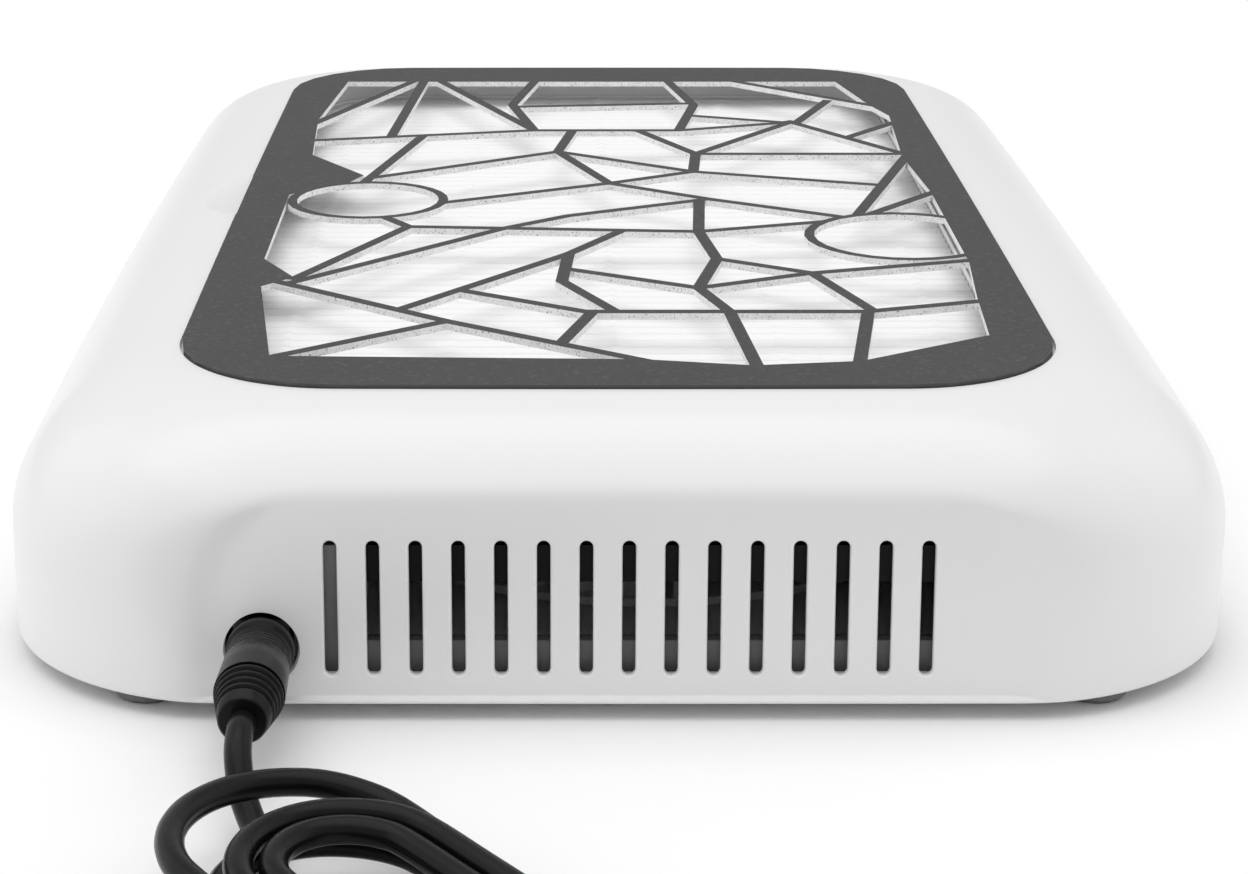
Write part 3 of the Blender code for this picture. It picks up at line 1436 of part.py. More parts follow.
def adapter():
    half_x = ADAPTER_LENGTH / 2
    half_y = ADAPTER_WIDTH / 2
    rings = []
    for grow, z in (
        (-ADAPTER_ROUND / 2, 0),
        (0, ADAPTER_ROUND / 2),
        (0, ADAPTER_HEIGHT - ADAPTER_ROUND / 2),
        (-ADAPTER_ROUND / 2, ADAPTER_HEIGHT),
    ):
        rings.append(level(rounded(half_x + grow, half_y + grow, ADAPTER_ROUND), z))
    case = loft("power_adapter", rings, black_plastic())
    place(case, ADAPTER_X, ADAPTER_Y, 0)
    profile = [
        (RELIEF_RADIUS, 0),
        (RELIEF_RADIUS, RELIEF_LENGTH * 0.25),
        (RELIEF_RADIUS * 0.85, RELIEF_LENGTH * 0.3),
        (RELIEF_RADIUS * 0.7, RELIEF_LENGTH),
    ]
    relief = turned("adapter_relief", profile, lead_vinyl(), MEDIUM_STEPS)
    start = ADAPTER_X - half_x - SEAT_GAP
    place(relief, start, ADAPTER_Y, ADAPTER_CORD_Z, (-1, 0, 0))
    for index, side in enumerate((-1, 1)):
        y = ADAPTER_Y + side * BLADE_SPACING / 2
        x = ADAPTER_X + half_x / 3
        socket_low = ADAPTER_HEIGHT - BLADE_SEAT
        low = (x - BLADE_WIDTH / 2, y - BLADE_METAL / 2, socket_low)
        high = (x + BLADE_WIDTH / 2, y + BLADE_METAL / 2, ADAPTER_HEIGHT + BLADE_LENGTH)
        blade = box(f"adapter_blade_{index + 1}", low, high, bright_steel())
        gap = SEAT_GAP
        low = (low[0] - gap, low[1] - gap, low[2] - gap)
        high = (high[0] + gap, high[1] + gap, high[2])
        cut(case, box(f"slot_blade_{index}", low, high))
        hole = rod(f"hole_blade_{index}", BLADE_METAL / 2, -OVERRUN, OVERRUN, steps=SMALL_STEPS)
        cut(blade, place(hole, x, y, ADAPTER_HEIGHT + BLADE_LENGTH * 0.75, (0, 1, 0)))


def wall_inside():
    return HALF_Y + END_BOW - WALL


def controls():
    """Two push buttons, their switches, a light and the board behind the far wall."""
    floor = FLOOR_Z + SEAT_GAP * 2
    half = BOARD_THICK / 2
    low = (-BOARD_WIDTH / 2, BOARD_Y - half, floor)
    high = (BOARD_WIDTH / 2, BOARD_Y + half, floor + BOARD_HEIGHT)
    box("control_board", low, high, board_green())
    front = BOARD_Y + half + SEAT_GAP
    back = wall_inside() - SEAT_GAP - BUTTON_FLANGE_THICK
    switch_front = front + SWITCH_DEPTH
    stem = back - switch_front + STEM_REACH
    cap = HALF_Y + END_BOW + BUTTON_PROUD - back
    edge = BUTTON_RADIUS / 10
    for side, button_name, switch_name in (
        (-1, "power_button", "power_switch"),
        (1, "speed_button", "speed_switch"),
    ):
        x = side * BUTTON_X
        profile = [
            (STEM_RADIUS, -stem),
            (STEM_RADIUS, 0),
            (BUTTON_RADIUS + BUTTON_FLANGE, 0),
            (BUTTON_RADIUS + BUTTON_FLANGE, BUTTON_FLANGE_THICK),
            (BUTTON_RADIUS, BUTTON_FLANGE_THICK),
            (BUTTON_RADIUS, cap - edge),
            (BUTTON_RADIUS - edge, cap),
        ]
        button = turned(button_name, profile, dark_plastic(), MEDIUM_STEPS)
        place(button, x, back, CONTROL_Z, (0, 1, 0))
        reach = SWITCH_SIZE / 2
        low = (x - reach, front, CONTROL_Z - reach)
        high = (x + reach, switch_front, CONTROL_Z + reach)
        switch = box(switch_name, low, high, black_plastic())
        bore = STEM_REACH + BUTTON_TRAVEL + SEAT_GAP * 2
        hole = rod(f"bore_{switch_name}", STEM_RADIUS + SEAT_GAP, -bore, OVERRUN, steps=16)
        cut(switch, place(hole, x, switch_front, CONTROL_Z, (0, 1, 0)))
    length = HALF_Y + END_BOW - front
    light = rod("status_light", LIGHT_RADIUS, 0, length, finish("light_pipe", (0.7, 0.7, 0.7), 0.1))
    place(light, 0, front, CONTROL_Z, (0, 1, 0))


def inner_leads():
    """The socket's lead runs along the left wall, the motor's down the middle."""
    low = FLOOR_Z + SEAT_GAP + WIRE_RADIUS
    side = -(BOSS_X - PAD_RADIUS - WIRE_RADIUS * 2)
    board = BOARD_Y - BOARD_THICK / 2 - SEAT_GAP
    start = jack_face() + JACK_DEPTH + SEAT_GAP
    gap = WIRE_RADIUS * 2
    board_x = -BOARD_WIDTH * 0.35
    route = [
        (JACK_X, start, JACK_Z),
        (JACK_X, start + gap, JACK_Z),
        (mix(JACK_X, side, 0.2), start + gap * 4, mix(JACK_Z, low, 0.6)),
        (mix(JACK_X, side, 0.8), start + gap * 9, low),
        (side, start + gap * 14, low),
        (side, 0, low),
        (side, board - gap * 14, low),
        (mix(board_x, side, 0.7), board - gap * 7, low),
        (mix(board_x, side, 0.2), board - gap * 4, low + gap / 2),
        (board_x, board - gap, low + gap),
        (board_x, board, low + gap),
    ]
    wire = finish("wire_sleeve", (0.05, 0.05, 0.05), 0.5)
    tube("jack_lead", smooth_route([Vector(p) for p in route], gap * 4), WIRE_RADIUS, wire, 1)
    housing_back = max(y for x, y in scroll(0)) + SEAT_GAP
    board_x = BOARD_WIDTH * 0.32
    route = [
        (FAN_X, housing_back, JACK_Z),
        (FAN_X, housing_back + gap, JACK_Z),
        (mix(FAN_X, board_x, 0.2), housing_back + gap * 6, low),
        (board_x, housing_back + gap * 16, low),
        (board_x, board - gap * 6, low),
        (board_x, board - gap, low + gap),
        (board_x, board, low + gap),
    ]
    tube("motor_lead", smooth_route([Vector(p) for p in route], gap * 4), WIRE_RADIUS, wire, 1)


def build():
    clear_scene()
    upper_shell()
    bottom_cover()
    feet()
    case_screws()
    lattice_cover()
    filter_cassette()
    fan_housing()
    fan_inlet_plate()
    impeller()
    motor()
    dc_jack()
    plug()
    controls()
    inner_leads()
    cord_hank()
    free_cords()
    cord_tie()
    adapter()


build()
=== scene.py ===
import math

import bmesh
import bpy
from mathutils import Matrix, Vector


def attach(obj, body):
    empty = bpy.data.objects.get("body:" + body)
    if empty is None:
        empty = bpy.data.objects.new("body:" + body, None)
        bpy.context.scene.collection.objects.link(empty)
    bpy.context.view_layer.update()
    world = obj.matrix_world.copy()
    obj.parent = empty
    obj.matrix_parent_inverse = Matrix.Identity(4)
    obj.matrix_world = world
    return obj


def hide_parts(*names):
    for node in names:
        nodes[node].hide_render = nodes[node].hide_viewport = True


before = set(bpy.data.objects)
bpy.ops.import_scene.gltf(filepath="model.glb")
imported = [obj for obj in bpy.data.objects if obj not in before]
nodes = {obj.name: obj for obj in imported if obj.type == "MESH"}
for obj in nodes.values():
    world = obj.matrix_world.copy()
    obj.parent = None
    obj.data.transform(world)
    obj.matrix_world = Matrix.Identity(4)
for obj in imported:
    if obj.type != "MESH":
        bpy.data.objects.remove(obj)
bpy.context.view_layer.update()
collection = bpy.context.scene.collection

body = {
    "halfX": 0.1028, "halfY": 0.1660, "corner": 0.0400, "sideBow": 0.0022, "endBow": 0.0008,
    "wall": 0.0030, "topWall": 0.0028, "edge": 0.0007, "base": 0.0030, "wallTop": 0.0220,
    "top": 0.0479, "gap": 0.0003, "loose": 0.0004, "brim": 0.00015, "cornerSteps": 24,
    "edgeSteps": 4, "wallSteps": 10, "rollSteps": 56, "innerSteps": 8, "meshSharp": 40,
    "cutSharp": 38,
}
plate = {
    "halfX": 0.0756, "halfY": 0.1385, "corner": 0.0280, "bow": 0.0006, "ledge": 0.0050,
    "ledgeTop": 0.0470, "rimBand": 0.0015, "rimSteep": 0.5,
}
cassette = {
    "low": 0.0303, "high": 0.0423, "thin": 0.0010, "deep": 0.0043, "deepTop": 0.0340,
    "bevel": 0.0002, "lipTop": 0.0284, "lip": 0.0016, "lipReach": 0.0042, "skirt": 0.0016,
}
fan = {"x": 0.0050, "y": -0.0850, "radius": 0.0550, "low": 0.0096, "height": 0.0134}

shortShares = [i / 48 for i in range(1, 48)]
longShares = [0.06, 0.13, 0.2, 0.27, 0.33, 0.38, 0.42]
longShares += [0.44 + 0.12 * i / 24 for i in range(25)]  # closer beside the finger notch
longShares += [0.58, 0.62, 0.67, 0.73, 0.8, 0.87, 0.94]


def mix(a, b, share):
    return a + (b - a) * share


def outline(halfX, halfY, radius, bowX, bowY):  # bowed sides, from +X round through +Y
    points = []
    corners = [(1, 1), (-1, 1), (-1, -1), (1, -1)]
    for index, (sx, sy) in enumerate(corners):
        cx = sx * (halfX - radius)
        cy = sy * (halfY - radius)
        for i in range(body["cornerSteps"] + 1):
            angle = index * math.pi / 2 + math.pi / 2 * i / body["cornerSteps"]
            points.append((cx + radius * math.cos(angle), cy + radius * math.sin(angle)))
        nx, ny = corners[(index + 1) % 4]
        alongX = index in (0, 2)
        px, py = points[-1]
        ex = nx * (halfX - radius) if alongX else px
        ey = py if alongX else ny * (halfY - radius)
        for share in shortShares if alongX else longShares:
            points.append((mix(px, ex, share), mix(py, ey, share)))
    return [
        (
            x + bowX * (x / halfX) * (1 - (y / halfY) ** 2),
            y + bowY * (y / halfY) * (1 - (x / halfX) ** 2),
        )
        for x, y in points
    ]


def level(points, z):
    return [(x, y, z) for x, y in points]


def makeObject(name, bm, material, sharp=32):
    bmesh.ops.recalc_face_normals(bm, faces=bm.faces)
    mesh = bpy.data.meshes.new(name)
    bm.to_mesh(mesh)
    bm.free()
    mesh.shade_smooth()
    mesh.set_sharp_from_angle(angle=math.radians(sharp))
    if material:
        mesh.materials.append(material)
    made = bpy.data.objects.new(name, mesh)
    collection.objects.link(made)
    return made


def loftMesh(name, rings, material=None, closed=False, sharp=32):
    bm = bmesh.new()
    rows = [[bm.verts.new(point) for point in ring] for ring in rings]
    pairs = list(zip(rows, rows[1:]))
    if closed:
        pairs.append((rows[-1], rows[0]))
    for low, high in pairs:
        for i in range(len(low)):
            j = (i + 1) % len(low)
            bm.faces.new((low[i], low[j], high[j], high[i]))
    if not closed:
        bm.faces.new(rows[0])
        bm.faces.new(rows[-1])
    return makeObject(name, bm, material, sharp)


def latheMesh(name, profile, material=None, steps=64, closed=False, sharp=32):
    turns = [2 * math.pi * i / steps for i in range(steps)]
    rings = [[(r * math.cos(a), r * math.sin(a), z) for a in turns] for r, z in profile]
    return loftMesh(name, rings, material, closed, sharp)


def put(made, x, y, z, facing=None):
    turn = Matrix.Identity(4)
    if facing:
        turn = Vector((0, 0, 1)).rotation_difference(Vector(facing)).to_matrix().to_4x4()
    made.matrix_world = Matrix.Translation((x, y, z)) @ turn
    return made


def carve(target, shapes):
    for shape in shapes:
        step = target.modifiers.new("cut", "BOOLEAN")
        step.operation = "DIFFERENCE"
        step.solver = "EXACT"
        step.object = shape
    settle(target)
    for shape in shapes:
        bpy.data.objects.remove(shape, do_unlink=True)
    return target


def settle(target):
    bpy.context.view_layer.update()
    depsgraph = bpy.context.evaluated_depsgraph_get()
    mesh = bpy.data.meshes.new_from_object(target.evaluated_get(depsgraph))
    target.modifiers.clear()
    target.data = mesh


def soften(target, width, angle):
    step = target.modifiers.new("softEdge", "BEVEL")
    step.width = width
    step.segments = 2
    step.limit_method = "ANGLE"
    step.angle_limit = math.radians(angle)
    step.harden_normals = True
    return target


def crease(target, sharp):
    target.data.shade_smooth()
    target.data.set_sharp_from_angle(angle=math.radians(sharp))
    step = target.modifiers.new("evenNormals", "WEIGHTED_NORMAL")
    step.keep_sharp = True
    return target


effect = {
    "broadDetail": 4.0, "broadRough": 0.6, "speckScale": 900.0, "speckDetail": 2.0,
    "speckFrom": 0.55, "speckGain": 6.0, "speckRough": 0.7, "fineDetail": 2.0,
    "fineRough": 0.5, "smearDetail": 5.0, "smearRough": 0.65, "bevelSamples": 4,
    "edgeGain": 9.0, "brokenScale": 260.0, "brokenDetail": 3.0, "brokenFrom": 0.42,
    "brokenGain": 5.0,
}


def newGroup(name, inputs, outputs):
    group = bpy.data.node_groups.new(name, "ShaderNodeTree")
    for label, kind, value in inputs:
        socket = group.interface.new_socket(name=label, in_out="INPUT", socket_type=kind)
        socket.default_value = value
    for label, kind in outputs:
        group.interface.new_socket(name=label, in_out="OUTPUT", socket_type=kind)
    return group, group.nodes.new("NodeGroupInput"), group.nodes.new("NodeGroupOutput")


def mathNode(tree, operation, first, second=None, clamp=False):
    node = tree.nodes.new("ShaderNodeMath")
    node.operation = operation
    node.use_clamp = clamp
    for slot, value in zip(node.inputs, (first, second)):
        if value is None:
            continue
        if isinstance(value, (int, float)):
            slot.default_value = value
        else:
            tree.links.new(value, slot)
    return node.outputs[0]


def mixColour(tree, mask, first, second):
    node = tree.nodes.new("ShaderNodeMix")
    node.data_type = "RGBA"
    for label, value in (("Factor_Float", mask), ("A_Color", first), ("B_Color", second)):
        socket = next(item for item in node.inputs if item.identifier == label)
        if isinstance(value, (int, float, tuple)):
            socket.default_value = value
        else:
            tree.links.new(value, socket)
    return next(item for item in node.outputs if item.identifier == "Result_Color")


def noiseNode(tree, scale, detail, rough):
    place = tree.nodes.new("ShaderNodeTexCoord").outputs["Object"]
    node = tree.nodes.new("ShaderNodeTexNoise")
    node.inputs["Detail"].default_value = detail
    node.inputs["Roughness"].default_value = rough
    tree.links.new(place, node.inputs["Vector"])
    if isinstance(scale, (int, float)):
        node.inputs["Scale"].default_value = scale
    else:
        tree.links.new(scale, node.inputs["Scale"])
    return node.outputs["Fac"]


def toneGroup():  # changes of tone, and dust on what faces up
    group, given, out = newGroup(
        "surfaceTone",
        [
            ("Colour", "NodeSocketColor", (0.5, 0.5, 0.5, 1)),
            ("Variation", "NodeSocketFloat", 0.05),
            ("Scale", "NodeSocketFloat", 40.0),
            ("Dust Colour", "NodeSocketColor", (0.6, 0.6, 0.6, 1)),
            ("Dust", "NodeSocketFloat", 0.0),
        ],
        [("Colour", "NodeSocketColor")],
    )
    broad = noiseNode(group, given.outputs["Scale"], effect["broadDetail"], effect["broadRough"])
    shift = mathNode(group, "SUBTRACT", broad, 0.5)
    shift = mathNode(group, "MULTIPLY", shift, given.outputs["Variation"])
    gain = mathNode(group, "ADD", mathNode(group, "MULTIPLY", shift, 2.0), 1.0)
    toned = group.nodes.new("ShaderNodeVectorMath")
    toned.operation = "SCALE"
    group.links.new(given.outputs["Colour"], toned.inputs[0])
    group.links.new(gain, toned.inputs["Scale"])
    normal = group.nodes.new("ShaderNodeNewGeometry").outputs["Normal"]
    split = group.nodes.new("ShaderNodeSeparateXYZ")
    group.links.new(normal, split.inputs[0])
    speck = noiseNode(group, effect["speckScale"], effect["speckDetail"], effect["speckRough"])
    speck = mathNode(group, "SUBTRACT", speck, effect["speckFrom"])
    speck = mathNode(group, "MULTIPLY", speck, effect["speckGain"], True)
    mask = mathNode(group, "MULTIPLY", mathNode(group, "MAXIMUM", split.outputs[2], 0.0), speck)
    mask = mathNode(group, "MULTIPLY", mask, given.outputs["Dust"], True)
    colour = mixColour(group, mask, toned.outputs[0], given.outputs["Dust Colour"])
    group.links.new(colour, out.inputs["Colour"])
    return group


def grainGroup():  # a height for the bump and an uneven roughness
    group, given, out = newGroup(
        "surfaceGrain",
        [
            ("Grain Scale", "NodeSocketFloat", 1500.0),
            ("Smear Scale", "NodeSocketFloat", 30.0),
            ("Roughness", "NodeSocketFloat", 0.4),
            ("Spread", "NodeSocketFloat", 0.08),
        ],
        [("Height", "NodeSocketFloat"), ("Roughness", "NodeSocketFloat")],
    )
    fine = noiseNode(
        group, given.outputs["Grain Scale"], effect["fineDetail"], effect["fineRough"],
    )
    smear = noiseNode(
        group, given.outputs["Smear Scale"], effect["smearDetail"], effect["smearRough"],
    )
    shift = mathNode(group, "MULTIPLY", mathNode(group, "SUBTRACT", smear, 0.5), 2.0)
    shift = mathNode(group, "MULTIPLY", shift, given.outputs["Spread"])
    rough = mathNode(group, "ADD", given.outputs["Roughness"], shift, True)
    group.links.new(fine, out.inputs["Height"])
    group.links.new(rough, out.inputs["Roughness"])
    return group


def wearAndHighlightGroup():  # worn edges and painted edge highlights, broken up by noise
    group, given, out = newGroup(
        "edgeWearAndHighlight",
        [("Width", "NodeSocketFloat", 0.0004), ("Amount", "NodeSocketFloat", 0.3)],
        [("Mask", "NodeSocketFloat")],
    )
    bevel = group.nodes.new("ShaderNodeBevel")
    bevel.samples = effect["bevelSamples"]
    group.links.new(given.outputs["Width"], bevel.inputs["Radius"])
    plain = group.nodes.new("ShaderNodeNewGeometry").outputs["Normal"]
    dot = group.nodes.new("ShaderNodeVectorMath")
    dot.operation = "DOT_PRODUCT"
    group.links.new(bevel.outputs[0], dot.inputs[0])
    group.links.new(plain, dot.inputs[1])
    edge = mathNode(group, "SUBTRACT", 1.0, dot.outputs["Value"])
    edge = mathNode(group, "MULTIPLY", edge, effect["edgeGain"], True)
    broken = noiseNode(group, effect["brokenScale"], effect["brokenDetail"], effect["speckRough"])
    broken = mathNode(group, "SUBTRACT", broken, effect["brokenFrom"])
    broken = mathNode(group, "MULTIPLY", broken, effect["brokenGain"], True)
    mask = mathNode(group, "MULTIPLY", edge, broken)
    mask = mathNode(group, "MULTIPLY", mask, given.outputs["Amount"], True)
    group.links.new(mask, out.inputs["Mask"])
    return group


groups = {"tone": toneGroup(), "grain": grainGroup(), "wearAndHighlight": wearAndHighlightGroup()}


def useGroup(tree, name, **values):
    node = tree.nodes.new("ShaderNodeGroup")
    node.node_tree = groups[name]
    for label, value in values.items():
        label = " ".join(part.capitalize() for part in label.split("_"))
        if isinstance(value, (int, float, tuple)):
            node.inputs[label].default_value = value
        else:
            tree.links.new(value, node.inputs[label])
    return node


def grey(value):
    return (value, value, value, 1.0)


plainLook = {
    "variation": 0.03, "toneScale": 40.0, "dust": 0.0, "dustColour": 0.6, "wearAndHighlightWidth": 0.0004,
    "grain": 1500.0, "smear": 30.0, "spread": 0.06, "bump": 0.15, "depth": 0.0001,
    "metal": 0.0, "coat": 0.0, "coatRough": 0.1, "specular": 0.5,
}


def surface(name, settings):
    look = dict(plainLook, **settings)
    material = bpy.data.materials.new(name)
    material.use_nodes = True
    tree = material.node_tree
    shader = tree.nodes["Principled BSDF"]
    colour = look["colour"] if isinstance(look["colour"], tuple) else grey(look["colour"])
    tone = useGroup(
        tree, "tone", colour=colour, variation=look["variation"], scale=look["toneScale"],
        dust=look["dust"], dust_colour=grey(look["dustColour"]),
    )
    result = tone.outputs["Colour"]
    # edge mask: real wear on the dark mouldings and steel, a painted highlight on the white casing
    # looks
    if "wearAndHighlight" in look:
        wearAndHighlight = useGroup(tree, "wearAndHighlight", width=look["wearAndHighlightWidth"], amount=look["wearAndHighlight"])
        result = mixColour(tree, wearAndHighlight.outputs["Mask"], result, grey(look["wornAndHighlightColour"]))
    tree.links.new(result, shader.inputs["Base Color"])
    grain = useGroup(
        tree, "grain", grain_scale=look["grain"], smear_scale=look["smear"],
        roughness=look["rough"], spread=look["spread"],
    )
    tree.links.new(grain.outputs["Roughness"], shader.inputs["Roughness"])
    bump = tree.nodes.new("ShaderNodeBump")
    bump.inputs["Strength"].default_value = look["bump"]
    bump.inputs["Distance"].default_value = look["depth"]
    tree.links.new(grain.outputs["Height"], bump.inputs["Height"])
    tree.links.new(bump.outputs["Normal"], shader.inputs["Normal"])
    shader.inputs["Metallic"].default_value = look["metal"]
    shader.inputs["Coat Weight"].default_value = look["coat"]
    shader.inputs["Coat Roughness"].default_value = look["coatRough"]
    shader.inputs["Specular IOR Level"].default_value = look["specular"]
    return material


view = {  # the photograph's place and angle
    "place": (-0.0107, -0.5850, 0.1860), "down": 18.19, "lens": 81.63, "sensor": 36.0,
    "shift": 0.0545, "near": 0.01,
}
lensData = bpy.data.cameras.new("photoCamera")
lensData.lens = view["lens"]
lensData.sensor_width = view["sensor"]
lensData.shift_x = view["shift"]
lensData.clip_start = view["near"]
photoCamera = bpy.data.objects.new("photoCamera", lensData)
photoCamera.location = view["place"]
photoCamera.rotation_euler = (math.radians(90 - view["down"]), 0, 0)
collection.objects.link(photoCamera)
bpy.context.scene.camera = photoCamera
bpy.context.scene.view_settings.view_transform = "Standard"
print("camera set")

vinylLook = {
    "colour": 0.0045, "rough": 0.28, "spread": 0.06, "specular": 0.17, "grain": 2600.0, "bump": 0.1,
    "depth": 0.00005, "variation": 0.15, "toneScale": 60.0, "dust": 0.018, "dustColour": 0.25,
}
vinyl = surface("leadVinyl", vinylLook)
cable = {
    "radius": 0.0021, "gap": 0.0003, "exitX": -0.0580, "exitZ": 0.0120, "plugEnd": -0.1928,
    "x": -0.0460, "y": -0.2300, "fold": 0.0200, "run": 0.0560, "turn": math.radians(-50.0),
    "step": 0.0048, "layerTurns": 2, "rise": 0.0048, "lean": 0.0056, "leanEnd": 1.25,
    "nest": 0.0100, "loopPoints": 24, "reliefTip": 0.0217, "adapterY": -0.3265,
    "adapterZ": 0.0070,
    "supply": (
        (-0.0578, -0.2018, 0.0102), (-0.0568, -0.2062, 0.0065), (-0.0549, -0.2105, 0.0036),
        (-0.0528, -0.2152, 0.0023), (-0.0516, -0.2210, 0.0021), (-0.0517, -0.2275, 0.0021),
        (-0.0530, -0.2338, 0.0021),
    ),
    "tail": (
        (-0.0397, -0.2516, 0.0110), (-0.0242, -0.2716, 0.0119), (-0.0136, -0.2850, 0.0120),
        (-0.0038, -0.2967, 0.0117), (0.0022, -0.3053, 0.0086), (0.0064, -0.3135, 0.0054),
        (0.0108, -0.3213, 0.0046), (0.0157, -0.3253, 0.0057),
    ),
}
along = Vector((math.cos(cable["turn"]), math.sin(cable["turn"]), 0))
across = Vector((-along.y, along.x, 0))
farFold = Vector((cable["x"], cable["y"], 0))


def hankSpot(step, radius):
    near = farFold + along * cable["run"]
    nest = cable["nest"] * min((cable["fold"] - radius) / cable["step"], 1.0)
    far = farFold + along * nest
    run = cable["run"] - nest
    leg = cable["loopPoints"] // 6
    fold = cable["loopPoints"] // 2 - leg
    step = step % cable["loopPoints"]
    if step <= leg:
        return far - across * radius + along * run * step / leg
    step -= leg
    if step <= fold:
        angle = math.pi * step / fold
        return near + (along * math.sin(angle) - across * math.cos(angle)) * radius
    step -= fold
    if step <= leg:
        return near + across * radius - along * run * step / leg
    step -= leg
    angle = math.pi * step / fold
    return far + (across * math.cos(angle) - along * math.sin(angle)) * radius


def hankLift(spot):
    reach = cable["run"] + cable["fold"] * 2
    share = ((spot - farFold).dot(along) + cable["fold"]) / reach
    return cable["lean"] * max(1 - share * cable["leanEnd"], 0.0)


def hankLine():
    count = cable["loopPoints"]
    total = cable["layerTurns"] * 2 * count
    climb = count / 4
    widest = total / 2 - climb
    points = []
    for i in range(total + 1):
        radius = cable["fold"] - cable["step"] * abs(i - widest) / count
        spot = hankSpot(i, radius)
        rise = min(max((i - widest + climb) / (2 * climb), 0.0), 1.0)
        lift = hankLift(spot) if i > count // 6 else 0.0
        height = cable["radius"] + lift + cable["rise"] * rise * rise * (3 - 2 * rise)
        points.append(Vector((spot.x, spot.y, height)))
    straight = cable["radius"] * 2
    return [points[0] - along * straight] + points + [points[-1] + along * straight]


def curveThrough(points, steps=6):
    line = [points[0] * 2 - points[1]] + points + [points[-1] * 2 - points[-2]]
    fine = []
    for before, here, ahead, after in zip(line, line[1:], line[2:], line[3:]):
        for k in range(steps):
            t = k / steps
            fine.append(
                0.5 * (
                    2 * here + (ahead - before) * t
                    + (2 * before - 5 * here + 4 * ahead - after) * t * t
                    + (3 * here - before - 3 * ahead + after) * t * t * t
                )
            )
    return fine + [points[-1]]


def tubeCurve(name, points, radius, material, sides=6):
    curve = bpy.data.curves.new(name, "CURVE")
    curve.dimensions = "3D"
    curve.bevel_depth = radius
    curve.bevel_resolution = sides
    curve.use_fill_caps = True
    spline = curve.splines.new("POLY")
    spline.points.add(len(points) - 1)
    for slot, point in zip(spline.points, points):
        slot.co = (point[0], point[1], point[2], 1.0)
    spline.use_smooth = True
    curve.materials.append(material)
    made = bpy.data.objects.new(name, curve)
    collection.objects.link(made)
    return made


straight = cable["radius"] * 2
loops = hankLine()
wayIn = (loops[1] - loops[0]).normalized()
wayOut = (loops[-1] - loops[-2]).normalized()
exitPoint = Vector((cable["exitX"], cable["plugEnd"] - cable["gap"], cable["exitZ"]))
route = [exitPoint, exitPoint + Vector((0, -straight, 0))]
route += [Vector(point) for point in cable["supply"]]
route += [loops[0] - wayIn * straight] + loops + [loops[-1] + wayOut * straight]
route += [Vector(point) for point in cable["tail"]]
leadEnd = Vector((cable["reliefTip"] - cable["gap"], cable["adapterY"], cable["adapterZ"]))
route += [leadEnd - Vector((straight, 0, 0)), leadEnd]
leadLine = curveThrough(route)
lead = tubeCurve("powerLead", leadLine, cable["radius"], vinyl)
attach(lead, "lead")
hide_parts("supply_cord", "cord_hank", "cord_tail")

# the near-white edge mask here paints a highlight along the slot rims and other edges
casingLook = {
    "colour": 0.83, "rough": 0.3, "spread": 0.05, "grain": 900.0, "smear": 22.0,
    "bump": 0.05, "depth": 0.00006, "variation": 0.012, "toneScale": 18.0, "coat": 0.25,
    "coatRough": 0.2, "wearAndHighlight": 0.8, "wornAndHighlightColour": 0.98, "wearAndHighlightWidth": 0.0004,
}
casingWhite = surface("casingGloss", casingLook)
panel = {
    "inset": 0.0013, "pressed": 0.0010, "lean": math.radians(5.0), "soft": 0.0003,
    "least": 0.0012, "half": 0.0700, "off": 0.0007, "edge": 0.0050, "ledge": 0.0034,
    "ledgeSoft": 0.0005, "round": 0.0190, "roundFrom": 0.0190, "slotWidth": 0.00215,
    "pitch": 0.00683, "count": 15, "low": 0.0073, "high": 0.0296, "flare": 0.00032,
    "shift": 0.0010, "rows": [0.0040, 0.0043, 0.0046, 0.0050, 0.0056], "turnSteps": 12,
    "clear": 20, "slotRows": (
        (-0.0012, 1.0), (-0.00002, 1.0), (0.00016, 0.35), (0.0004, 0.0), (0.0064, 0.0),
    ),
}
ports = {
    "socket": (0.0059, 0.00035), "key": (0.0054, 0.0003), "light": (0.0018, 0.0002),
    "reach": 0.006, "rim": ((1.0, 0.2), (0.35, -0.5), (0.0, -1.0)), "steps": 72,
    "socketZ": 0.0120, "keyX": 0.0140, "keyY": 0.1667, "lightY": 0.1668, "backZ": 0.0140,
}
notch = {
    "x": -0.0762, "reach": 0.0095, "half": 0.0150, "depth": 0.0022, "soft": 0.16,
    "above": 0.040, "blendFrom": 0.9, "blend": 0.2,
}


def shellRing(inset, innerX, innerY, innerCorner, share):
    return outline(
        mix(body["halfX"] - inset, innerX, share), mix(body["halfY"] - inset, innerY, share),
        mix(body["corner"] - inset, innerCorner, share),
        mix(body["sideBow"], plate["bow"], share), mix(body["endBow"], plate["bow"], share),
    )


def ringAround(grow, base=0.0):
    return outline(
        plate["halfX"] - base + grow, plate["halfY"] - base + grow,
        plate["corner"] - base + grow, plate["bow"], plate["bow"],
    )


def panelY(z):
    return -(body["halfY"] - panel["inset"]) + (z - body["base"]) * math.tan(panel["lean"])


def smoothShare(value):
    share = min(max(value, 0.0), 1.0)
    return share * share * (3 - 2 * share)


def flatten(point):  # eases the bowed end into the flat panel
    x, y, z = point
    rise = max(z - panel["roundFrom"], 0.0)
    bend = panel["round"] - math.sqrt(max(panel["round"] ** 2 - rise ** 2, 0.0))
    beside = smoothShare((panel["half"] - bend - abs(x + panel["off"])) / panel["edge"])
    above = smoothShare((z - panel["ledge"]) / panel["ledgeSoft"])
    flat = panelY(z) - panel["pressed"] * (1 - beside * above)
    over = (y - flat) / panel["soft"]
    if over > panel["clear"]:
        return point
    return (x, flat + math.log1p(math.exp(over)) * panel["soft"], z)


def behindPanel(point):
    x, y, z = point
    return (x, max(y, panelY(z) + panel["least"]) if y < 0 else y, z)


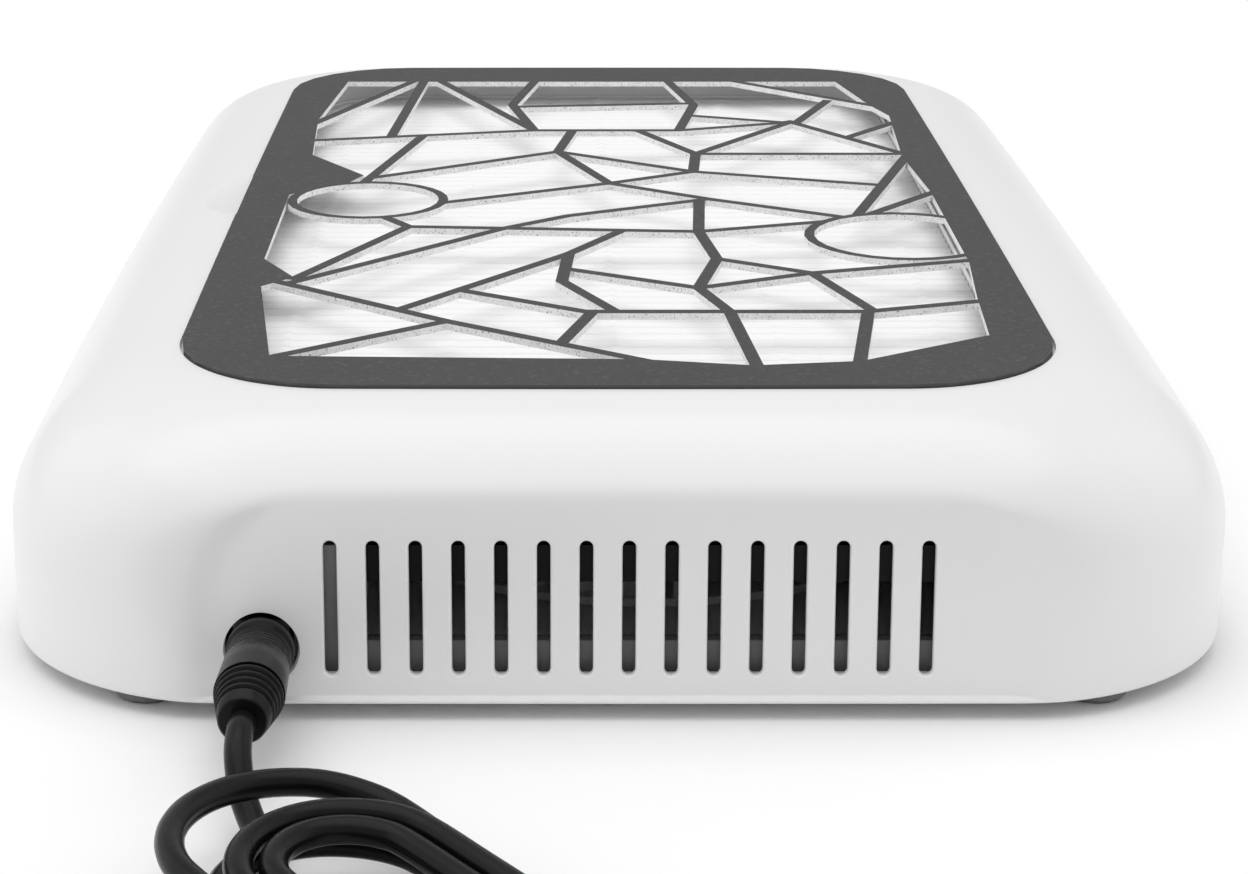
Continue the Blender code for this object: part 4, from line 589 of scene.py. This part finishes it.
def casingRings():
    openX = plate["halfX"] + body["loose"]
    openY = plate["halfY"] + body["loose"]
    openCorner = plate["corner"] + body["loose"]
    outer = []
    for i in range(body["edgeSteps"] + 1):
        angle = math.pi / 2 * i / body["edgeSteps"]
        inset = body["edge"] * (1 - math.sin(angle))
        z = body["base"] + body["edge"] * (1 - math.cos(angle))
        outer.append(level(shellRing(inset, openX, openY, openCorner, 0), z))
    steps = body["wallSteps"]
    heights = panel["rows"] + [
        mix(body["base"] + body["edge"], body["wallTop"], i / steps) for i in range(2, steps)
    ]
    for z in heights:
        outer.append(level(shellRing(0, openX, openY, openCorner, 0), z))
    for i in range(body["rollSteps"] + 1):
        angle = math.pi / 2 * i / body["rollSteps"]
        ring = shellRing(0, openX, openY, openCorner, 1 - math.cos(angle))
        outer.append(level(ring, mix(body["wallTop"], body["top"], math.sin(angle))))
    outer = [[flatten(point) for point in ring] for ring in outer]
    lip = cassette["lipTop"]
    well = [
        level(ringAround(body["loose"]), body["top"] - body["brim"]),
        level(ringAround(body["loose"]), plate["ledgeTop"]),
        level(ringAround(0, plate["ledge"]), plate["ledgeTop"]),
        level(ringAround(0, plate["ledge"]), lip),
        level(ringAround(-cassette["lipReach"], plate["ledge"]), lip),
        level(ringAround(-cassette["lipReach"], plate["ledge"]), lip - cassette["lip"]),
        level(ringAround(cassette["skirt"], plate["ledge"]), lip - cassette["lip"]),
    ]
    skirtX = plate["halfX"] - plate["ledge"] + cassette["skirt"]
    skirtY = plate["halfY"] - plate["ledge"] + cassette["skirt"]
    skirtCorner = plate["corner"] - plate["ledge"] + cassette["skirt"]
    inner = []
    steps = body["innerSteps"]
    for i in range(steps + 1):
        angle = math.pi / 2 * (steps - i) / steps
        ring = shellRing(body["wall"], skirtX, skirtY, skirtCorner, 1 - math.cos(angle))
        z = mix(body["wallTop"], body["top"] - body["topWall"], math.sin(angle))
        inner.append(level(ring, z))
    inner.append(level(shellRing(body["wall"], skirtX, skirtY, skirtCorner, 0), body["base"]))
    return outer + well + [[behindPanel(point) for point in ring] for ring in inner]


def slotCutter():  # upright slots with round ends and a soft rim
    bm = bmesh.new()
    turns = [math.pi * i / panel["turnSteps"] for i in range(panel["turnSteps"] + 1)]
    for index in range(panel["count"]):
        x = panel["shift"] + panel["pitch"] * (index - (panel["count"] - 1) / 2)
        rows = []
        for depth, grow in panel["slotRows"]:
            radius = panel["slotWidth"] / 2 + panel["flare"] * grow
            top = panel["high"] - panel["slotWidth"] / 2
            low = panel["low"] + panel["slotWidth"] / 2
            ring = [(x + radius * math.cos(a), top + radius * math.sin(a)) for a in turns]
            ring += [(x - radius * math.cos(a), low - radius * math.sin(a)) for a in turns]
            rows.append([bm.verts.new((px, panelY(pz) + depth, pz)) for px, pz in ring])
        for near, far in zip(rows, rows[1:]):
            for i in range(len(near)):
                j = (i + 1) % len(near)
                bm.faces.new((near[i], near[j], far[j], far[i]))
        bm.faces.new(rows[0])
        bm.faces.new(rows[-1])
    return makeObject("slotCutter", bm, None)


def roundCutter(name, kind, x, y, z, facing):
    radius, flare = ports[kind]
    profile = [(radius + flare, ports["reach"])]
    profile += [(radius + flare * grow, flare * depth) for grow, depth in ports["rim"]]
    profile.append((radius, -ports["reach"]))
    return put(latheMesh(name, profile, steps=ports["steps"]), x, y, z, facing)


def pressNotch(casing):
    for vert in casing.data.vertices:
        x, y, z = vert.co
        if x > notch["x"] or z < notch["above"]:
            continue
        far = math.sqrt(((x - notch["x"]) / notch["reach"]) ** 2 + (y / notch["half"]) ** 2)
        if far >= 1 + notch["soft"]:
            continue
        bowl = math.sqrt(max(1 - min(far, 1.0) ** 2, 0.0))
        floor = body["top"] - notch["depth"] * bowl
        if z > floor:
            share = min(max((far - notch["blendFrom"]) / notch["blend"], 0.0), 1.0)
            vert.co.z = mix(floor, z, share ** 2)


casing = loftMesh("casing", casingRings(), casingWhite, closed=True, sharp=body["meshSharp"])
pressNotch(casing)
socketZ = ports["socketZ"]
backZ = ports["backZ"]
carve(casing, [
    slotCutter(),
    roundCutter("socketCutter", "socket", cable["exitX"], panelY(socketZ), socketZ, (0, -1, 0)),
    roundCutter("keyCutter", "key", -ports["keyX"], ports["keyY"], backZ, (0, 1, 0)),
    roundCutter("keyCutter", "key", ports["keyX"], ports["keyY"], backZ, (0, 1, 0)),
    roundCutter("lightCutter", "light", 0, ports["lightY"], backZ, (0, 1, 0)),
])
crease(casing, body["cutSharp"])
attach(casing, "housing")
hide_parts("upper_shell")
print("casing made")

plateLook = {
    "top": 0.058, "variation": 0.05, "toneScale": 30.0, "dust": 0.10, "dustColour": 0.4,
    "wall": 0.86, "wallVariation": 0.2, "wallScale": 350.0, "steepFrom": 0.35,
    "steepGain": 4.0, "burnt": 0.10, "burntScale": 2600.0, "burntFrom": 0.56,
    "burntGain": 7.0, "specular": 0.2, "rough": 0.6, "grain": 1800.0, "smear": 26.0,
    "spread": 0.05, "bump": 0.15, "depth": 0.0001,
}
rimLook = {"colour": 0.07, "rough": 0.4, "grain": 1800.0, "variation": 0.1, "dust": 0.05}


def plateMaterial():  # painted top, pale burnt walls, pale underside
    material = bpy.data.materials.new("plateCut")
    material.use_nodes = True
    tree = material.node_tree
    shader = tree.nodes["Principled BSDF"]
    normal = tree.nodes.new("ShaderNodeNewGeometry").outputs["Normal"]
    split = tree.nodes.new("ShaderNodeSeparateXYZ")
    tree.links.new(normal, split.inputs[0])
    steep = mathNode(tree, "SUBTRACT", 1.0, mathNode(tree, "ABSOLUTE", split.outputs[2]))
    steep = mathNode(tree, "SUBTRACT", steep, plateLook["steepFrom"])
    steep = mathNode(tree, "MULTIPLY", steep, plateLook["steepGain"], True)
    top = useGroup(
        tree, "tone", colour=grey(plateLook["top"]), variation=plateLook["variation"],
        scale=plateLook["toneScale"], dust=plateLook["dust"],
        dust_colour=grey(plateLook["dustColour"]),
    )
    speck = noiseNode(tree, plateLook["burntScale"], effect["brokenDetail"], effect["speckRough"])
    speck = mathNode(tree, "SUBTRACT", speck, plateLook["burntFrom"])
    speck = mathNode(tree, "MULTIPLY", speck, plateLook["burntGain"], True)
    wall = useGroup(
        tree, "tone", colour=grey(plateLook["wall"]), variation=plateLook["wallVariation"],
        scale=plateLook["wallScale"],
    ).outputs["Colour"]
    burnt = mixColour(tree, speck, wall, grey(plateLook["burnt"]))
    face = mixColour(tree, steep, top.outputs["Colour"], burnt)
    under = mathNode(tree, "MULTIPLY", split.outputs[2], -plateLook["steepGain"], True)
    tree.links.new(mixColour(tree, under, face, wall), shader.inputs["Base Color"])
    shader.inputs["Specular IOR Level"].default_value = plateLook["specular"]
    grain = useGroup(
        tree, "grain", grain_scale=plateLook["grain"], smear_scale=plateLook["smear"],
        roughness=plateLook["rough"], spread=plateLook["spread"],
    )
    tree.links.new(grain.outputs["Roughness"], shader.inputs["Roughness"])
    bump = tree.nodes.new("ShaderNodeBump")
    bump.inputs["Strength"].default_value = plateLook["bump"]
    bump.inputs["Distance"].default_value = plateLook["depth"]
    tree.links.new(grain.outputs["Height"], bump.inputs["Height"])
    tree.links.new(bump.outputs["Normal"], shader.inputs["Normal"])
    return material


def dress(name, material):
    node = nodes[name]
    node.data.materials.clear()
    node.data.materials.append(material)
    return node


def darkRim(node, material):  # the plate's outer edge gets the dark rim colour
    node.data.materials.append(material)
    corner = plate["corner"]
    for face in node.data.polygons:
        x, y, z = node.matrix_world @ face.center
        reachX = max(abs(x) - plate["halfX"] + corner, 0.0)
        reachY = max(abs(y) - plate["halfY"] + corner, 0.0)
        outermost = math.hypot(reachX, reachY) > corner - plate["rimBand"]
        if abs(face.normal.z) < plate["rimSteep"] and outermost:
            face.material_index = 1


cutPlate = dress("lattice_cover", plateMaterial())
darkRim(cutPlate, surface("plateRim", rimLook))
print("plate dressed")

filterLook = {
    "colour": 0.9, "rough": 0.85, "spread": 0.05, "grain": 2400.0, "bump": 0.4,
    "depth": 0.0001, "variation": 0.02, "toneScale": 70.0, "dust": 0.04, "dustColour": 0.6,
}
pleat = {
    "pitch": 0.0042, "crest": 0.0419, "crease": 0.0007, "width": 0.00030, "body": 0.0008,
    "beads": (-0.060, -0.030, 0.0, 0.030, 0.060), "beadRise": 0.00035, "beadWidth": 0.0007,
    "columns": 24, "beadSteps": (-0.012, -0.005, 0.005, 0.012), "sag": 0.00008,
    "wave": 0.00012, "waveRate": 90, "waveShift": 1.7, "sharp": 60,
    "offsets": (0.0, 0.05, 0.1, 0.17, 0.28, 0.5, 0.72, 0.83, 0.9, 0.95),
}


def filterFrame():
    bevel = cassette["bevel"]
    thin = cassette["thin"]
    edges = (
        (-body["gap"], cassette["low"]), (-body["gap"], cassette["high"] - bevel),
        (-body["gap"] - bevel, cassette["high"]), (-thin + bevel, cassette["high"]),
        (-thin, cassette["high"] - bevel), (-thin, cassette["deepTop"]),
        (-cassette["deep"], cassette["deepTop"]), (-cassette["deep"], cassette["low"]),
    )
    rings = [level(ringAround(grow, plate["ledge"]), z) for grow, z in edges]
    return loftMesh("filterFrame", rings, frameWhite, closed=True, sharp=body["meshSharp"])


def filterMesh():
    grow = -cassette["thin"] - body["gap"]
    halfX = plate["halfX"] - plate["ledge"] + grow
    halfY = plate["halfY"] - plate["ledge"] + grow
    corner = plate["corner"] - plate["ledge"] + grow
    count = int(halfY * 2 / pleat["pitch"])
    pitch = halfY * 2 / count
    shares = [i / pleat["columns"] for i in range(pleat["columns"] + 1)]
    for bead in pleat["beads"]:
        for step in pleat["beadSteps"]:
            shares.append((bead / halfX + 1) / 2 + step)
    shares = sorted(share for share in set(shares) if 0 <= share <= 1)
    bm = bmesh.new()
    rows = []
    for index in range(count):
        for offset in pleat["offsets"]:
            y = -halfY + pitch * (index + offset)
            reach = halfX
            if abs(y) > halfY - corner:
                depth = (abs(y) - (halfY - corner)) / corner
                reach = halfX - corner + corner * math.sqrt(max(1 - depth * depth, 0.0))
            reach += plate["bow"] * (1 - (y / halfY) ** 2)
            near = min(offset, 1 - offset) * pitch
            dip = pleat["crease"] * math.exp(-(near / pleat["width"]) ** 2)
            sag = pleat["sag"] * (1 - math.cos(2 * math.pi * (offset - 0.5)))
            row = []
            for share in shares:
                x = mix(-reach, reach, share)
                rise = 0.0
                for bead in pleat["beads"]:
                    rise += pleat["beadRise"] * math.exp(-((x - bead) / pleat["beadWidth"]) ** 2)
                bend = x * pleat["waveRate"] + index * pleat["waveShift"]
                wave = pleat["wave"] * math.sin(bend)
                row.append(bm.verts.new((x, y + wave, pleat["crest"] - dip - sag + rise)))
            rows.append(row)
    for low, high in zip(rows, rows[1:]):
        for i in range(len(low) - 1):
            bm.faces.new((low[i], low[i + 1], high[i + 1], high[i]))
    made = makeObject("pleatedFilter", bm, surface("filterPaper", filterLook), pleat["sharp"])
    step = made.modifiers.new("thickness", "SOLIDIFY")
    step.thickness = pleat["body"]
    step.offset = -1
    return made


# keeps the casing's near-white edge mask: a painted highlight on the frame's edges
frameWhite = surface("frameSatin", dict(casingLook, colour=0.9, rough=0.5, coat=0.0))
mediaFrame = filterFrame()
media = filterMesh()
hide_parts("filter_frame")
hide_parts("filter_pleats")
for piece in (mediaFrame, media):
    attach(piece, "filter")
print("filter made")

plugShape = {
    "radius": 0.0055, "tail": 0.0039, "length": 0.0290, "nose": -0.1638, "x": -0.0580,
    "z": 0.0120, "tipSoft": 0.0003, "soft": 0.00012, "softAngle": 45, "sharp": 50, "steps": 56,
    "front": (
        (0.0006, 0), (0.0001, 0.0003), (0.0, 0.0008), (0.0, 0.0027), (0.0002, 0.0030),
        (0.0005, 0.0036),
    ),
    "lines": 4, "lineFrom": 0.0052, "linePitch": 0.0011, "lineNeck": 0.0004,
    "lineFlare": 0.00006, "lineDepth": 0.00012, "lineWidth": 0.0004,
    "grip": ((0.0, 0.50), (0.0001, 0.66)),
    "ribs": 5, "ribStart": 0.65, "ribSpan": 0.28, "ribFrom": 0.05, "ribTaper": 0.9,
    "ribRows": (
        (0.0007, 0.10), (0.0007, 0.36), (0.0001, 0.48), (0.0, 0.56), (0.0, 0.88),
        (0.0001, 0.97),
    ),
    "bore": 0.0030, "boreFrom": -0.0009, "boreReach": 0.003, "boreSteps": 40,
}


def plugMesh():
    radius = plugShape["radius"]
    length = plugShape["length"]
    tail = plugShape["tail"]
    tip = plugShape["tipSoft"]
    profile = [(radius - inset, at) for inset, at in plugShape["front"]]
    for i in range(plugShape["lines"]):
        at = plugShape["lineFrom"] + plugShape["linePitch"] * i
        wide = radius - plugShape["lineNeck"] + plugShape["lineFlare"] * i
        width = plugShape["lineWidth"]
        profile += [
            (wide, at), (wide - plugShape["lineDepth"], at + width / 2), (wide, at + width),
        ]
    profile += [(radius + grow, length * share) for grow, share in plugShape["grip"]]
    start = length * plugShape["ribStart"]
    rib = length * plugShape["ribSpan"] / plugShape["ribs"]
    for i in range(plugShape["ribs"]):
        share = plugShape["ribFrom"] + plugShape["ribTaper"] * i / plugShape["ribs"]
        wide = mix(radius, tail, share)
        at = start + rib * i
        profile += [(wide - inset, at + rib * part) for inset, part in plugShape["ribRows"]]
    profile += [(tail, length - tip), (tail - tip, length)]
    nose = (plugShape["x"], plugShape["nose"], plugShape["z"])
    made = latheMesh(
        "leadPlug", profile, vinyl, steps=plugShape["steps"], sharp=plugShape["sharp"],
    )
    put(made, *nose, (0, -1, 0))
    bore = [(plugShape["bore"], plugShape[end]) for end in ("boreFrom", "boreReach")]
    socket = latheMesh("barrelCutter", bore, steps=plugShape["boreSteps"])
    put(socket, *nose, (0, 1, 0))
    carve(made, [socket])
    return soften(made, plugShape["soft"], plugShape["softAngle"])


leadPlug = plugMesh()
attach(leadPlug, "lead")
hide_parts("dc_plug")
print("plug made")

moulding = {
    "colour": 0.055, "rough": 0.46, "spread": 0.08, "grain": 1300.0, "bump": 0.2,
    "variation": 0.06, "dust": 0.25, "dustColour": 0.3, "wearAndHighlight": 0.15, "wornAndHighlightColour": 0.16,
}
wheelMaterial = surface("darkMoulding", moulding)
vaneMaterial = surface("vaneMoulding", dict(moulding, colour=0.7, rough=0.35, dust=0.1))
duct = {
    "colour": 0.18, "lipY": -0.1500, "pale": 0.88, "gain": 1500.0, "variation": 0.15,
    "toneScale": 70.0,
}
housingMaterial = surface("ductMoulding", dict(moulding, colour=duct["colour"]))


# behind the lip the duct turns pale: painted light on its shaded floor and inner walls
def paintLightInside(material):
    tree = material.node_tree
    shader = tree.nodes["Principled BSDF"]
    outside = shader.inputs["Base Color"].links[0].from_socket
    split = tree.nodes.new("ShaderNodeSeparateXYZ")
    tree.links.new(tree.nodes.new("ShaderNodeTexCoord").outputs["Object"], split.inputs[0])
    inside = mathNode(tree, "SUBTRACT", split.outputs[1], duct["lipY"])
    inside = mathNode(tree, "MULTIPLY", inside, duct["gain"], True)
    paintedLightTone = useGroup(
        tree, "tone", colour=grey(duct["pale"]), variation=duct["variation"],
        scale=duct["toneScale"],
    )
    mixed = mixColour(tree, inside, outside, paintedLightTone.outputs["Colour"])
    tree.links.new(mixed, shader.inputs["Base Color"])


paintLightInside(housingMaterial)
# near-black inlet plate and front skirt: painted shade seen through the top of the slots
shadeSkirtMaterial = surface("lidPaintedShade", dict(
    moulding, colour=0.004, dust=0.01, wearAndHighlight=0.02, specular=0.15,
))
wheel = {
    "blades": 38, "chord": 0.0120, "thick": 0.0009, "pitch": math.radians(38.0),
    "vaneLow": 0.0008, "vaneHigh": 0.0004, "vaneSteps": 6, "vaneThin": 0.6, "thickest": 0.4,
    "vaneSharp": 40, "sides": 96, "bore": 0.0197, "disc": 0.0014, "footRadius": 0.0222,
    "hub": 0.0215, "hubFrom": 0.0022,
    "cap": (
        (0.0014, 0.0215), (0.0004, 0.0208), (0.0, 0.0196), (0.0, 0.0002), (0.0016, 0.0002),
        (0.0016, 0.0197),
    ),
    "rimWidth": 0.0050, "rimInset": 0.0005, "rimLow": 0.0014, "rimHigh": 0.0005,
}


def bladeRing():
    bm = bmesh.new()
    low = fan["low"] + wheel["vaneLow"]
    high = fan["low"] + fan["height"] - wheel["vaneHigh"]
    outer = fan["radius"] - wheel["thick"]
    for index in range(wheel["blades"]):
        turn = 2 * math.pi * index / wheel["blades"]
        sides = []
        for i in range(wheel["vaneSteps"] + 1):
            share = i / wheel["vaneSteps"]
            radius = outer - wheel["chord"] * share
            lean = wheel["pitch"] * share * wheel["chord"] / outer * (2 - share)
            half = wheel["thick"] / 2 * (1 - wheel["vaneThin"] * abs(share - wheel["thickest"]))
            angles = [turn + lean + side * half / radius for side in (-1, 1)]
            sides.append([(radius * math.cos(a), radius * math.sin(a)) for a in angles])
        ring = [side[0] for side in sides] + [side[1] for side in reversed(sides)]
        ends = [[bm.verts.new((x, y, z)) for x, y in ring] for z in (low, high)]
        for i in range(len(ring)):
            j = (i + 1) % len(ring)
            bm.faces.new((ends[0][i], ends[0][j], ends[1][j], ends[1][i]))
        bm.faces.new(ends[0])
        bm.faces.new(ends[1])
    return makeObject("fanVanes", bm, vaneMaterial, wheel["vaneSharp"])


def fanWheel():
    low = fan["low"]
    top = low + fan["height"]
    hubTop = float(cadTop("impeller"))
    disc = low + wheel["disc"]
    profile = [(wheel["bore"], low), (fan["radius"], low), (fan["radius"], disc)]
    profile += [(wheel["footRadius"], disc), (wheel["hub"], low + wheel["hubFrom"])]
    profile += [(radius, hubTop - down) for down, radius in wheel["cap"]]
    inner = fan["radius"] - wheel["rimWidth"]
    outer = fan["radius"] - wheel["rimInset"]
    rimLow = top - wheel["rimLow"]
    rimHigh = top + wheel["rimHigh"]
    rim = [(inner, rimLow), (outer, rimLow), (outer, rimHigh), (inner, rimHigh)]
    return [
        latheMesh("fanHub", profile, vaneMaterial, wheel["sides"], closed=True),
        latheMesh("fanRim", rim, vaneMaterial, wheel["sides"], closed=True),
        bladeRing(),
    ]


def cadTop(name):
    node = nodes[name]
    return max((node.matrix_world @ Vector(corner)).z for corner in node.bound_box)


fanPieces = fanWheel()
for piece in fanPieces:
    put(piece, fan["x"], fan["y"], 0)
    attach(piece, "fan_rotor")
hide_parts("impeller")
print("fan made")

# keeps the casing's near-white edge mask: a painted highlight on the bottom cover's edges
housingWhite = surface("coverGloss", dict(casingLook, colour=0.83, rough=0.3))
blackMoulding = surface("blackMoulding", dict(moulding, colour=0.018, rough=0.4))
rubberGrey = surface("rubberGrey", {
    "colour": 0.19, "rough": 0.82, "grain": 2200.0, "bump": 0.4, "variation": 0.1,
    "dust": 0.3, "dustColour": 0.35, "specular": 0.3,
})
foamGrey = surface("foamGrey", {
    "colour": 0.10, "rough": 0.95, "grain": 3500.0, "bump": 0.9, "depth": 0.0003,
    "variation": 0.2, "specular": 0.15,
})
wireSleeve = surface("wireSleeve", dict(vinylLook, colour=0.05, rough=0.5))
steel = surface("brightSteel", {
    "colour": 0.56, "rough": 0.26, "metal": 1.0, "grain": 1700.0, "smear": 120.0,
    "spread": 0.12, "bump": 0.1, "variation": 0.06, "wearAndHighlight": 0.3, "wornAndHighlightColour": 0.75,
})
copper = surface("windingCopper", {
    "colour": (0.42, 0.15, 0.06, 1.0), "rough": 0.35, "metal": 0.9, "grain": 700.0,
    "bump": 0.5, "depth": 0.0003, "variation": 0.15, "spread": 0.1,
})
boardGreen = surface("boardGreen", {
    "colour": (0.02, 0.11, 0.05, 1.0), "rough": 0.4, "grain": 900.0, "bump": 0.2,
    "variation": 0.15, "toneScale": 260.0, "coat": 0.3,
})
lightPipe = surface("lightPipe", {
    "colour": 0.72, "rough": 0.12, "grain": 900.0, "variation": 0.02, "coat": 0.6,
})
kept = {
    "bottom_cover": housingWhite, "filter_gasket": foamGrey,
    "fan_housing": housingMaterial, "fan_inlet_plate": shadeSkirtMaterial, "motor_base": blackMoulding,
    "dc_jack": blackMoulding, "power_switch": blackMoulding, "speed_switch": blackMoulding,
    "rotor_magnet": blackMoulding, "power_button": wheelMaterial, "speed_button": wheelMaterial,
    "jack_lead": wireSleeve, "motor_lead": wireSleeve, "control_board": boardGreen,
    "status_light": lightPipe, "motor_stator": copper, "cord_tie": blackMoulding,
    "power_adapter": blackMoulding, "adapter_relief": vinyl,
}
done = (
    "upper_shell", "filter_pleats", "filter_frame", "dc_plug", "impeller", "lattice_cover",
    "supply_cord", "cord_hank", "cord_tail",
)
for name in list(nodes):
    if name not in done:
        dress(name, rubberGrey if name.startswith("rubber_foot") else kept.get(name, steel))
bevelAngle = 50
bevels = {
    "power_adapter": 0.0016, "power_button": 0.0004, "speed_button": 0.0004, "cord_tie": 0.00025,
    "adapter_blade_1": 0.0003, "adapter_blade_2": 0.0003, "status_light": 0.0003,
    "bottom_cover": 0.0004, "rubber_foot_1": 0.0004, "rubber_foot_2": 0.0004,
    "rubber_foot_3": 0.0004, "rubber_foot_4": 0.0004, "lattice_cover": 0.00012,
}
for name, width in bevels.items():
    soften(nodes[name], width, bevelAngle)
print("other pieces dressed")

room = {
    "floor": 0.95, "floorRough": 0.9, "floorSpecular": 0.0, "reach": 6.0, "world": 0.62,
    "lamps": (
        ("overheadLamp", (-0.2, -0.10, 2.4), 3.2, 30.0),
        ("leftLamp", (-2.0, 0.3, 1.1), 2.6, 8.0),
        ("rightLamp", (2.0, 0.3, 1.1), 2.6, 7.0),
    ),
}
bm = bmesh.new()
corners = ((-1, -1), (1, -1), (1, 1), (-1, 1))
bm.faces.new([bm.verts.new((x * room["reach"], y * room["reach"], 0.0)) for x, y in corners])
floorMaterial = bpy.data.materials.new("paleFloor")
floorMaterial.use_nodes = True
floorShader = floorMaterial.node_tree.nodes["Principled BSDF"]
floorShader.inputs["Base Color"].default_value = grey(room["floor"])
floorShader.inputs["Roughness"].default_value = room["floorRough"]
floorShader.inputs["Specular IOR Level"].default_value = room["floorSpecular"]
floor = makeObject("paleFloor", bm, floorMaterial)
world = bpy.data.worlds.new("plainWorld")
world.use_nodes = True
world.node_tree.nodes["Background"].inputs["Color"].default_value = grey(1.0)
world.node_tree.nodes["Background"].inputs["Strength"].default_value = room["world"]
bpy.context.scene.world = world
for name, spot, size, energy in room["lamps"]:
    lampData = bpy.data.lights.new(name, "AREA")
    lampData.shape = "DISK"
    lampData.size = size
    lampData.energy = energy
    lamp = bpy.data.objects.new(name, lampData)
    facing = Vector((0, 0, 0)) - Vector(spot)
    turn = Vector((0, 0, -1)).rotation_difference(facing).to_matrix().to_4x4()
    lamp.matrix_world = Matrix.Translation(spot) @ turn
    collection.objects.link(lamp)
print("stage set")
